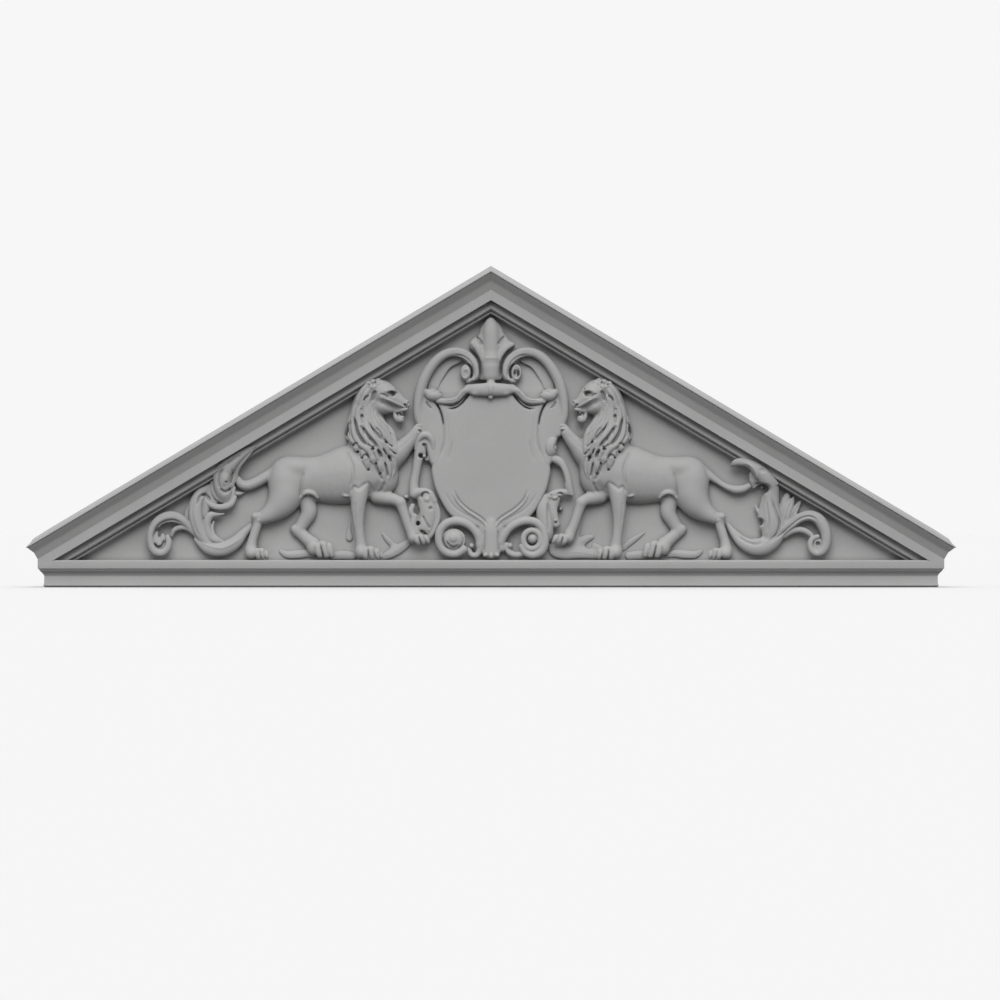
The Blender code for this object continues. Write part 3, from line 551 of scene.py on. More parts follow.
def lion_mane(clay):
    """Neck, locks, and the channels and drill holes between them."""
    clay.limb([(117, 102, 4, 21), (120.4, 119, 4, 22.4), (124.5, 136, 4, 18.6), (124.6, 152, 6, 15),
               (121, 165.6, 9.6, 12.6), (115.6, 171, 11, 11)], 0.82, 3)
    clay.limb([(106, 122, 7, 9.4), (103, 112, 8, 8.4), (102.4, 98, 8, 7), (102, 84, 7, 4.4)], 0.9, 3)
    ground = relief_map(clay)
    locks = (
        [(102, 127.5, 2.2), (98.2, 124.5, 2.8), (96.3, 119.1, 3), (95.7, 113, 2.8), (94.8, 107.6, 1.2)],
        [(111.2, 142.1, 2), (106.6, 135.2, 3), (101.3, 129.8, 3.4), (98.2, 123, 3.4), (97, 115.3, 3),
         (94.8, 110.7, 1.4)],
        [(116.6, 146.7, 2.2), (113.5, 139, 3.2), (108.1, 132.1, 3.6), (103.2, 126, 3.4), (100.1, 118.4, 3),
         (97, 111.5, 2.6), (95.3, 106.1, 1.2)],
        [(119.6, 151.3, 2.2), (118.1, 140.6, 3), (113.5, 132.1, 3.2), (108.1, 125.2, 3.2),
         (103.9, 119.9, 3), (101.3, 112.2, 3), (98.2, 105.3, 2.4), (96.5, 100, 1.1)],
        [(121.5, 154.3, 2.4), (122.3, 142.8, 3.2), (119.6, 131.4, 3.2), (115.4, 123.7, 3.4),
         (110.4, 118.4, 3.2), (106.2, 112.2, 3), (103.2, 106.9, 2.4), (101.3, 102.3, 1.2)],
        [(124.2, 155.1, 2.4), (126.1, 141.3, 3.2), (124.2, 131.4, 3.6), (120.4, 126, 3.4),
         (115.4, 119.1, 3.4), (110.8, 113, 3), (108.1, 106.9, 2.6), (106.2, 100, 1.6)],
        [(128, 155.9, 2.4), (132.3, 148.2, 3.2), (132.6, 139, 3.6), (130, 129.8, 3.8), (125.7, 123, 3.6),
         (121.2, 116.8, 3.6), (115.8, 109.9, 3.2), (113.1, 101.5, 2.4)],
        [(132.6, 158.9, 2.4), (136.1, 149.7, 3.2), (137.6, 140.6, 3.2), (136.8, 131.4, 3.6),
         (134.5, 123, 3.8), (130.3, 116.8, 3.8), (124.2, 111.5, 3.6), (119.6, 105.3, 2.6)],
        [(135.7, 152, 2.2), (139.5, 142.8, 2.8), (141.1, 134.4, 3.2), (140.3, 125.2, 3.4),
         (137.6, 119.1, 3.2), (133.4, 114.5, 2.4)],
        [(138.8, 145.1, 1.8), (142, 136, 2.2), (143.7, 128.3, 2.6), (143.7, 123, 2.4), (141.8, 119.9, 1.2)],
        [(117.3, 178.1, 2.6), (123.4, 174.2, 3), (128.8, 167.3, 3.2), (132.6, 159.7, 3), (134.5, 153.6, 2)],
        [(120.4, 171.5, 2.2), (124.6, 166.6, 2.8), (127.3, 161.2, 3), (129.6, 154.3, 2.6),
         (131.5, 149.7, 1.6)],
        [(118.1, 165, 1.6), (121.9, 162, 2.2), (123.4, 155.9, 2.6), (125, 149.7, 2.4), (128, 145.1, 1.2)],
    )
    tips = (
        [(136.1, 114.5, 2.6), (133.8, 111.5, 3.4), (131.9, 108, 2.4), (130.9, 105.7, 1)],
        [(128, 108.4, 3), (125.7, 102.3, 4.2), (123.8, 96.2, 3.6), (122.7, 90.4, 1)],
        [(120.4, 105.3, 3), (118.1, 100.8, 3.4), (116.2, 96.9, 1.6)],
        [(112, 100, 2.4), (111.2, 94.6, 3.4), (110.4, 90, 2.4), (110.9, 86.6, 1)],
        [(107.4, 101.5, 2.4), (106.6, 94.6, 2.6), (105.8, 88.5, 2), (106.2, 83.2, 1)],
        [(103.2, 100, 2.4), (102, 93.1, 2.8), (101.3, 86.2, 2.2), (102, 80.9, 1)],
        [(98.2, 100.8, 2.4), (97, 94.6, 2.8), (97.4, 88.5, 2.2), (99, 82.4, 1)],
    )
    for knots in tips:
        lay_limb(clay, ground, knots, 0.25, 0.4)
    for knots in locks:
        lay_limb(clay, ground, knots, 0.10, 0.35)
    for knots in locks:
        for shift in (-0.3, 0.34):
            clay.stroke([(u + shift * r, v + 0.3 * shift * r, 0.4) for u, v, r in knots[:-1]], 0.5)
    for knots in tips:
        clay.stroke([(u + 0.1, v, 0.45) for u, v, _ in knots], 0.6)
    # Deep channels between the locks
    clay.stroke([(121.9, 137.5, 0.8), (119.6, 132.9, 1.1), (116.6, 128.3, 1.2), (112.7, 123.7, 1.3),
                 (108, 118.7, 1)], 2.6)
    clay.stroke([(128, 132.9, 0.8), (124.2, 126.8, 1), (120.4, 121.3, 1.5), (116.6, 117.6, 1.2),
                 (112.7, 112.6, 0.8)], 2.4)
    clay.stroke([(136.6, 142.8, 0.8), (134.5, 134.4, 1), (132.6, 126.8, 1.2), (128.8, 119.9, 1.3),
                 (124.6, 114.9, 1)], 2.6)
    clay.stroke([(142, 138.3, 0.7), (143.5, 129.8, 0.9), (144.7, 122.2, 0.7)], 1.4)
    clay.stroke([(108.1, 111.5, 0.7), (105.8, 107.6, 0.9), (104.3, 105.3, 0.6)], 1.8)
    clay.stroke([(113.3, 109.9, 0.9), (111.2, 106.5, 1.3), (109.5, 103.1, 0.9)], 3.4)
    clay.stroke([(102.6, 104.6, 0.9), (101.3, 101.5, 1.2), (100.3, 98.5, 0.8)], 3.4)
    clay.stroke([(106.2, 97.7, 0.7), (105.1, 92.3, 1), (102.8, 83.2, 0.8)], 2.4)
    clay.stroke([(115, 97.7, 0.8), (114.3, 92.3, 1), (111.6, 86.2, 1.1), (108.1, 79.3, 0.9)], 2.4)
    clay.stroke([(101.3, 110.7, 0.6), (98.2, 107.6, 0.9), (94.4, 105.3, 0.7)], 1.6)
    clay.stroke([(127.3, 158.5, 0.7), (125.7, 162, 1), (121.9, 164.1, 0.8)], 1.9)
    # Hooked ends of the curls, and drilled eyes
    clay.stroke([(137.8, 113.4, 0.7), (136.1, 116.1, 0.9), (133, 116.4, 0.7)], 1.9)
    clay.stroke([(129, 100.4, 0.8), (127.3, 103.8, 1), (124.2, 105, 1), (121, 101.1, 0.9)], 2.2)
    clay.stroke([(130.9, 150.5, 0.7), (129.2, 151, 0.6)], 1.2)
    clay.stroke([(131.2, 134.1, 0.6), (127.7, 129.8, 0.8), (125.6, 124.2, 0.6)], 1.6)
    clay.stroke([(115.1, 132.7, 0.6), (110.2, 127, 0.8), (108.8, 121.4, 0.6)], 1.4)
    clay.stroke([(122.8, 115.8, 0.6), (119.3, 113, 0.8), (115.1, 113.7, 0.6)], 1.6)
    clay.stroke([(106.7, 121.4, 0.6), (102.4, 115.8, 0.8), (97.5, 113, 0.6)], 1.4)
    clay.stroke([(140.1, 138.3, 0.6), (142, 129.8, 0.8), (141.5, 122.8, 0.6)], 1.4)
    for u, v, radius, depth in ((117.7, 111.1, 1.6, 3.6), (133, 108, 1.3, 3.0), (128.7, 143.6, 1.4, 2.8),
                                (104.9, 118, 0.9, 2.4), (120.4, 120.7, 1.2, 1.6), (127, 131, 0.8, 1.6),
                                (104.1, 117.2, 0.7, 1.6), (111.4, 107.4, 1.1, 2.6),
                                (101.6, 102.2, 1.1, 2.6), (122.4, 90, 1.2, 3), (114.7, 96.6, 0.9, 2.4),
                                (110.6, 86.1, 1.2, 3)):
        clay.drill(u, v, radius, depth)
    for u, v, r in ((128.8, 147.1, 2.0), (133.8, 112.2, 1.9), (124.6, 101.5, 2.2), (128, 135.2, 1.8)):
        near = laid(clay, relief_map(clay), [(u, v, r), (u + 0.1, v, r)], 0.5)[0]
        clay.ball(u, v, near[2], r, r, r, 0, 0.3)
    # Small curls over the brow, and the ear
    for u, v in ((118.1, 178.2), (113.3, 175.8), (120, 173.1), (109.3, 177.3), (112.9, 179.7),
                 (116.2, 172.3), (123.4, 176.5)):
        near = laid(clay, relief_map(clay), [(u, v, 2.4), (u + 0.1, v, 2.4)], 0.55)[0]
        clay.ball(u, v, near[2], 2.6, 2.4, 2.6, 0, 0.5)
    for u, v in ((121.8, 175.1), (115, 172.1), (109.7, 175.1), (115.4, 177.3)):
        clay.drill(u, v, 0.9, 1.6)


def lion_ear(clay):
    """A curled rim with a deep hollow behind it."""
    clay.limb([(120.8, 162.7, 14, 1.4), (120.4, 167.7, 16, 1.8), (117.3, 170.2, 17, 1.8),
               (113.5, 169.2, 17, 1.4)], 1, 0.8)
    clay.stroke([(115, 167.9, 1), (116.9, 166.2, 2), (117.6, 162.7, 1.8), (118.6, 158.5, 0.8)], 3.8)


def lion(name, side, tail, bend=None):
    """A lion that faces the middle; its tail is a path of its own."""
    clay = Clay((56, 262), (GROUND, 187), 31, FINE, bend)
    lion_trunk(clay)
    lion_legs(clay)
    lion_mane(clay)
    lion_head(clay)
    lion_ear(clay)
    clay.limb(tail, 1, 2)
    clay.stroke([(u, v + 0.4 * r, 0.9) for u, v, _, r in tail[2:-1]], 0.5)
    return clay.mesh(name, side)


def left_strap(name):
    """Strap with a pod at its head, and the leaf it ends in, between the left lion and the shield."""
    clay = Clay((46, 90), (GROUND, 134), 22, FINE)
    clay.limb([(70.9, 115.2, 8, 5.2), (72.9, 100.6, 8, 4.6), (75.2, 86.8, 7.6, 4.2), (77, 75.6, 7.4, 4.6),
               (76.4, 66.1, 8, 5.2)], 0.9, 1.2)
    clay.limb([(60.2, 119.5, 7, 5), (58, 107.4, 6.6, 4.6), (58.6, 100.6, 6.4, 2.6)], 0.9, 1.4)
    clay.limb([(74.4, 111.8, 9, 2.8), (73.3, 119.5, 10, 3.4), (68.4, 124.7, 11, 3.8),
               (62.3, 124.2, 11.4, 3.8), (58.4, 118.6, 10.8, 3.6), (57.6, 110.9, 9.6, 3.2)], 1, 0.7)
    clay.limb([(65.8, 120.4, 7, 5.6), (65.3, 110, 7, 5.6), (63.4, 101.9, 6.6, 3.4)], 0.9, 1.2)
    clay.drill(70.5, 104.2, 2.0, 7)
    clay.stroke([(68.8, 115.6, 0.9), (65.5, 113.9, 1.5), (64, 107.4, 1.4), (65, 101.4, 0.8)], 4.4)
    clay.ball(66.7, 103.8, 9.6, 1.9, 1.9, 2.4, 0, 0.4)
    clay.stroke([(60.2, 127.7, 0.7), (56.3, 123.8, 0.9), (53.7, 118.6, 0.7)], 1.2)
    # Leaf: a roll at the top, a ridge down its outer edge, lobes and dents
    clay.limb([(65.3, 61, 7, 8.6), (63.4, 51.5, 7.4, 9.4), (63.4, 42, 7.4, 9.4), (66, 32.5, 7.4, 9.2),
               (68.8, 24.8, 7, 7)], 0.85, 2)
    clay.limb([(75.7, 66.6, 9, 4), (68.8, 68, 10, 4.4), (61.9, 66, 10.6, 4.4),
               (57.6, 59.2, 10, 4)], 0.95, 1)
    clay.limb([(76.5, 43.7, 8, 3.8), (77.7, 36, 8, 4.6), (75.8, 28.2, 8, 5), (70.9, 22.2, 8, 5)], 0.9, 1.2)
    clay.limb([(56.9, 59.2, 10, 2.6), (53.8, 50.6, 9.6, 2.9), (53.1, 42, 9.6, 2.9), (55.2, 34.3, 9.6, 2.9),
               (59.3, 26.5, 9.6, 3), (64.5, 20.5, 9, 3)], 1, 0.9)
    clay.stroke([(69.2, 61.6, 0.8), (68.4, 66, 1.1), (64.5, 67.3, 1.1), (61.7, 65.1, 0.8)], 3.0)
    clay.ball(64, 60.3, 12.6, 3.4, 3.6, 3.4, 0, 0.5)
    clay.drill(60.5, 51.5, 1.7, 2.4)
    clay.limb([(84.3, 59.2, 10, 2), (79.1, 55.8, 9.6, 3.4), (75, 50.2, 9, 3.9), (70.3, 47, 9, 2)], 1, 0.8,
              carve=True)
    clay.ball(84.8, 63, 5, 3, 2.6, 6, 0, 0.5)
    clay.limb([(78.4, 54.1, 8, 2.6), (80.3, 48.9, 8.6, 3), (78.3, 43.7, 8.4, 3)], 0.95, 0.8)
    clay.drill(72.7, 36.4, 1.9, 4.4)
    clay.stroke([(70.3, 29.1, 1), (67.5, 27.2, 1.5), (64.8, 25.1, 1)], 5)
    clay.stroke([(68.4, 44.6, 0.7), (65.2, 37.7, 1), (60.9, 31.2, 1)], 2.0)
    return clay.mesh(name, -1)


def right_strap(name):
    """Strap with a closed pod, and the leaf it ends in, between the shield and the right lion."""
    clay = Clay((43, 92), (GROUND, 134), 22, FINE)
    clay.ball(60, 113.6, 8, 7.6, 12.4, 7.4, -12, 0.8)
    clay.limb([(56.9, 101.4, 7, 3), (62.5, 101, 8, 4), (69, 98, 9, 4.4), (73.3, 90.2, 9.4, 4.4),
               (76.4, 79.9, 9.4, 4.3), (78.3, 71.3, 9, 3.9), (80.2, 66.1, 8.6, 3)], 0.95, 1)
    clay.stroke([(67.4, 120.8, 1.1), (66.6, 115.6, 1.6), (69.7, 109.2, 1.7), (73.7, 101.9, 1.2)], 6)
    clay.stroke([(65.2, 116.2, 0.6), (63.5, 112.4, 0.9), (65.7, 107.4, 0.7)], 1.4)
    clay.stroke([(55.2, 120.4, 0.7), (53, 114.3, 0.9), (55.2, 105.7, 0.8), (59.5, 101.9, 0.6)], 1.2)
    clay.stroke([(67.1, 95.2, 0.7), (71.4, 87.1, 1), (74.3, 75.6, 0.8)], 1.8)
    # Leaf under the opening
    clay.limb([(55.2, 61, 7, 6), (52.6, 51.5, 7.6, 7.4), (53.3, 41.2, 7.6, 7.8), (55.2, 31.7, 7.4, 7.4),
               (56.9, 23.9, 6.6, 5.4)], 0.85, 2)
    clay.limb([(64, 61, 8, 5.4), (61.9, 52.3, 8.6, 5.2), (63.1, 43.7, 9, 4.8),
               (65.2, 36, 8.6, 4.2)], 0.9, 1)
    clay.limb([(57.8, 63.1, 9, 3.6), (64, 66, 10, 4.2), (71.7, 67.7, 9.6, 3.6),
               (77.7, 66.8, 8.6, 2.6)], 0.95, 0.9)
    clay.stroke([(56.9, 57.5, 0.8), (56.7, 44.6, 1.1), (57.4, 27.4, 0.8)], 1.6)
    clay.stroke([(59.5, 65.1, 0.7), (60.9, 64.6, 0.8)], 1.6)
    clay.stroke([(66.6, 66.1, 0.7), (69, 66.8, 1), (72, 65.6, 0.7)], 2.4)
    clay.ball(64, 62.2, 12.4, 3.0, 2.2, 2.6, 20, 0.5)
    clay.limb([(79.3, 62.7, 10, 1.8), (74.7, 55.4, 9, 3.8), (70.3, 50.2, 8.6, 4.4),
               (68.6, 43.3, 8.6, 2.6)], 1, 0.8, carve=True)
    clay.ball(69.8, 51, 1, 2.0, 2.8, 7, -30, 0.4)
    clay.ball(64.7, 39.6, 12, 1.9, 1.9, 2, 0, 0.3)
    clay.drill(64.7, 37.4, 1.1, 2.4)
    return clay.mesh(name, 1)


def cartouche(name):
    """Shield in a strapwork frame with volutes and a palmette; u is signed here, left below 0."""
    clay = Clay((-80, 80), (GROUND, 244), 29, FINE)
    hollow = [(0, 184), (14, 197), (30, 206), (48, 203), (62, 191), (70, 172), (66, 150), (50, 140),
              (30, 150)]
    clay.plate(both(hollow), 2.4, edge=2, dish=lambda P, Q, side: 4.6 * np.clip((198 - Q) / 30, -0.3, 1))
    # Broad shoulders of the frame, beside the shield
    for side in (-1, 1):
        shoulder = [(-65, 171.6), (-74.5, 171.6), (-76.5, 158.6), (-74.8, 145.5), (-70.8, 135.7),
                    (-67, 122.7), (-64.6, 111.2), (-61.8, 99), (-58.5, 95.2), (-53.3, 97.3), (-47.6, 109.6),
                    (-45.4, 122.7), (-46.4, 135.7), (-49.5, 147.1), (-54.4, 156.9)]
        clay.plate([(side * -u, v) for u, v in shoulder], 12.6, edge=3.2, blend=1.2,
                   dish=lambda P, Q, d: -1.2 * np.exp(d / 2.5))
    shield = [(-0.6, 169.7), (10.9, 168.4), (21.5, 166.7), (29.7, 159.4), (38.6, 153.7), (52.5, 156.9),
              (49.6, 145.5), (47.6, 135.7), (47.3, 122.7), (49.6, 109.6), (56.8, 99.8), (59.4, 90.8),
              (58.4, 81.8), (55.4, 70.4), (49.6, 58), (43, 47.6), (37, 42), (24.8, 37.1), (12.5, 32.2),
              (-0.6, 29.9)]
    clay.plate(both(shield), 12.8, edge=2.6, blend=2.4, dish=lambda P, Q, d: -0.7 * np.exp(d / 3.0))
    for side in (-1, 1):
        half_cartouche(clay, side)
    lower_volutes(clay)
    palmette(clay)
    return clay.mesh(name)


def both(outline):
    """An outline given for one half, closed with its mirror image."""
    half = [(abs(u), v) for u, v in outline]
    return half + [(-u, v) for u, v in half[::-1] if u > 1]


def half_cartouche(clay, side):
    """One half of the frame. Its knots are given for the left half, with u below 0."""
    def put(knots):
        return [(side * -k[0], *k[1:]) for k in knots]

    # Band that rolls over the top and down into the curl by the neck
    roll = [(-67.5, 126, 9, 3), (-70.8, 135.7, 9.2, 3.6), (-73.2, 145.5, 9.5, 4.2), (-72.9, 156.1, 10, 4.6),
            (-70.8, 168.4, 10.4, 5.2), (-67.3, 179.8, 11, 5.4), (-61.3, 190.9, 11.4, 5.2),
            (-53.6, 200.2, 12, 4.9), (-44.6, 206.2, 12.6, 4.7), (-35.3, 207.9, 13, 4.7),
            (-26.7, 205.6, 13.4, 4.8), (-19.7, 200, 13.8, 4.9), (-15.9, 192.5, 14, 4.8),
            (-15.4, 185, 14, 4.2), (-18.4, 180, 14, 3.2), (-22.9, 179, 13, 2.4)]
    clay.limb(put(roll), 1.0, 1.6)
    board = [(-62.6, 163.5), (-63.7, 173.3), (-60.1, 184.7), (-53.6, 194.5), (-43.8, 201.7), (-34, 204),
             (-28.5, 201), (-31.1, 197.4), (-40.2, 192.5), (-46.1, 184.4), (-50.7, 176.5), (-53.3, 171)]
    clay.plate([(side * -u, v) for u, v in board], 7.6, edge=1.4, blend=0.8)
    clay.stroke(put([(-19, 178.2, 0.5), (-13.1, 184.7, 0.6), (-13.1, 194.5, 0.7), (-17.7, 202.7, 0.7),
                     (-25.9, 208.4, 0.7), (-35.7, 210.2, 0.7), (-46.3, 208.2, 0.7)]), -0.7)
    clay.stroke(put([(-17.2, 179.8, 0.6), (-17, 189.6, 0.8), (-21, 198.6, 0.8), (-28.3, 203.8, 0.8),
                     (-36.5, 205.3, 0.8)]), 1.0)
    # The curl: a ring with a sunk eye
    eye_u, eye_v = -25.2, 187.1
    clay.ball(side * -eye_u, eye_v, 12.4, 5.8, 8.4, 6.8, 0, 0.4)
    clay.drill(side * -eye_u, eye_v - 0.4, 2.3 if side < 0 else 2.8, 2.6 if side < 0 else 5.5, 1.5)
    clay.stroke(put([(-23.2, 196.1, 0.7), (-19.7, 192.5, 1), (-18.5, 186.7, 1), (-20.3, 180.8, 0.8)]), 2.4)
    clay.stroke(put([(-23.2, 190.9, 0.6), (-25.5, 192.5, 0.8), (-27.8, 189.3, 0.8), (-27.5, 184.4, 0.8),
                     (-24.9, 182.4, 0.6)]), 1.2)
    # Strip over the shield: arms that run down to the ears
    arms = [(-21, 170.5, 14, 3.4), (-25.5, 169.3, 14, 3.3), (-29.8, 165.4, 13.6, 3.2),
            (-34, 160.9, 13.2, 3.1), (-40.2, 158.6, 13, 3), (-46.8, 158.6, 13, 3), (-52.3, 159.2, 13, 3.2)]
    clay.limb(put(arms), 0.95, 0.5)
    clay.stroke(put([(-24.9, 170.7, 0.5), (-29.8, 166.7, 0.6), (-34.3, 162.2, 0.6), (-40.9, 160, 0.6),
                     (-47.4, 160.2, 0.5)]), -0.8)
    ear_u, ear_v = -57.5, 164.8
    clay.ball(side * -ear_u, ear_v, 13, 8.6, 6.0, 5.6, 6 * side, 0.8)
    clay.ball(side * 63.8, 166.6, 12, 3.4, 4.4, 5, 0, 0.6)
    clay.stroke(put([(-60.1, 166.4, 0.7), (-54.9, 168, 1.1), (-49.4, 166.1, 0.7)]), 0.9)
    clay.stroke(put([(-64.7, 158.6, 0.7), (-62.8, 154.5, 0.9), (-59.8, 151.4, 0.7)]), 2.0)
    clay.stroke(put([(-66, 165.1, 0.6), (-61.8, 170.3, 0.8), (-55.2, 169.7, 0.7)]), -0.6)
    # Groove under the strip
    clay.stroke(put([(-43.8, 150.9, 0.9), (-39.2, 151.1, 1.1), (-34, 152.7, 1.1), (-28.8, 156.9, 1.1),
                     (-24.6, 161.8, 1), (-21, 166.4, 0.7)]), 2.8)
    # Lines between the shoulders and the shield, and the fine line inside them
    clay.stroke(put([(-54.9, 156.6, 0.8), (-51, 149.6, 1), (-48.6, 141.4, 1), (-47.6, 133.3, 0.7)]), 1.4)
    clay.stroke(put([(-47.6, 137.3, 0.7), (-46.8, 121, 0.8), (-49.4, 108.8, 0.8), (-54.3, 96.9, 0.7)]), 0.7)
    clay.stroke(put([(-44.1, 145.5, 0.6), (-43.2, 132.4, 0.7), (-41.9, 121, 0.7), (-42.2, 111.2, 0.7),
                     (-45.1, 98.2, 0.6)]), 0.55)
    clay.stroke(put([(-38.6, 119.4, 0.5), (-40.2, 109.6, 0.7), (-43.8, 98.2, 0.6)]), 0.9)
    # Bead round the lower half of the field
    bead = [(-38.6, 68.8, 0.6), (-35.7, 62.2, 0.8), (-32.1, 56.5, 0.9), (-24.2, 49.2, 0.9),
            (-16.1, 44, 0.9), (-9.2, 39.1, 0.9), (-4.6, 33.2, 0.8), (-2.7, 30.9, 0.6)]
    clay.stroke(put(bead), -1.5)
    clay.stroke(put([(u + 1.5, v + 1.6, 0.9) for u, v, _ in bead]), 1.3)
    clay.stroke(put([(-46.8, 68.8, 0.7), (-40.2, 57.3, 0.9), (-32.4, 49.5, 0.9), (-22.6, 44, 0.8),
                     (-12.8, 37.8, 0.7)]), 0.6)


def lower_volutes(clay):
    """The two volutes under the shield, which differ, and the pendant between them."""
    # Left: a band round a rolled disc with a tulip cut in it
    clay.limb([(-8.7, 22.2, 8, 4.4), (-11.2, 14.9, 8.6, 4.2), (-11.8, 19.8, 9, 4), (-14.4, 26.7, 9.6, 4),
               (-20.3, 33.5, 10, 4), (-28.5, 37.8, 10.6, 4.2), (-37, 38.7, 11, 4.4),
               (-45.1, 36.1, 11.2, 4.4), (-50.7, 29.6, 11.2, 4.3), (-52, 21.1, 11.2, 4.3),
               (-49.4, 12.6, 11.2, 4.3), (-42.8, 7.1, 11.2, 4.3), (-34.7, 6.4, 11, 4.2),
               (-27.5, 10.7, 11, 4)], 1, 0.5)
    clay.ball(-37.9, 20.1, 9, 12.6, 11.6, 6.4, 0, 0.4)
    clay.stroke([(-46.8, 26, 0.7), (-48.1, 19.5, 0.9), (-44.5, 12.9, 1), (-37, 10.7, 1), (-30.4, 13.9, 0.9),
                 (-27.8, 20.1, 0.9), (-30.4, 27.3, 0.8)], 1.8)
    clay.ball(-37.8, 21.8, 12.4, 5.8, 5.4, 4.6, 0, 0.3)
    clay.limb([(-42.8, 26, 12, 1.6), (-43.2, 20.8, 13, 2.2), (-40.2, 16.5, 12.6, 1.8)], 1, 0.6)
    clay.limb([(-33, 26.3, 12, 1.6), (-32.4, 21.1, 13, 2.2), (-35.3, 16.5, 12.6, 1.8)], 1, 0.6)
    clay.stroke([(-44.5, 18.5, 0.8), (-41.2, 13.9, 1.2), (-37, 12.6, 1.2), (-32.7, 14.9, 0.9)], 2.6)
    clay.ball(-19.5, 14.1, 7, 3.0, 3.0, 6, 0, 0.3)
    clay.limb([(-22.3, 10, 8, 2.8), (-19, 5.1, 8.6, 2.8), (-13.8, 5.4, 8.6, 3),
               (-10.5, 11.6, 8.6, 3.4)], 1, 0.6)
    # Right: a band over a ring with a ball in its eye
    clay.limb([(9.7, 18.2, 8.6, 4.2), (13.3, 24.7, 9.4, 4), (18.6, 31.9, 10, 4), (26.7, 36.8, 10.6, 4),
               (34.9, 39.1, 11, 4.2), (43.7, 38.1, 11.2, 4.3), (50.6, 32.5, 11.2, 4.3),
               (53.5, 24, 11.2, 4.3), (53.5, 15.6, 11.2, 4.3), (49.6, 8.4, 11.2, 4.3), (42.1, 5.1, 11, 4.2),
               (34.6, 7.7, 11, 3.8), (31.3, 13.3, 11, 3.6)], 1, 0.5)
    ring = [(41 + 8.6 * math.cos(a), 20.4 + 9.2 * math.sin(a),
            12, 3.1) for a in np.linspace(0, 2 * math.pi, 15)]
    clay.limb(ring, 1, 0.4)
    clay.ball(41.4, 21.1, 10, 5.0, 5.2, 6.4, 0, 0.3)
    clay.ball(19, 14.1, 8, 3.1, 3.1, 6, 0, 0.3)
    clay.limb([(15.6, 14.9, 8, 3), (18.2, 8, 8.6, 3.2), (24.8, 5.1, 8.6, 3.2), (31.9, 6.4, 8.6, 3)], 1, 0.6)
    # Pendant between them
    clay.limb([(0, 36, 8.6, 7.4), (0, 28, 9, 8.6), (0.2, 18, 8.6, 9.4), (0.2, 9, 9, 9)], 0.8, 1.6)
    clay.limb([(-8.6, 32, 8, 5), (-10, 22, 8, 4), (-10.6, 12, 8, 4)], 1, 1.4)
    clay.limb([(9, 32, 8, 5), (10, 22, 8, 4), (10.4, 12, 8, 4)], 1, 1.4)
    clay.stroke([(-6.4, 30, 0.7), (-6.6, 20, 0.9), (-7.4, 8, 0.8)], 1.0)
    clay.stroke([(7, 30, 0.7), (7.2, 20, 0.9), (8, 8, 0.8)], 1.0)
    clay.ball(-5.4, 5, 12.6, 2.8, 2.6, 4, 0, 0.6)
    clay.ball(5.8, 5, 12.6, 2.8, 2.6, 4, 0, 0.6)
    clay.ball(0.2, 4.4, 14.0, 2.6, 3.4, 4, 0, 0.4)


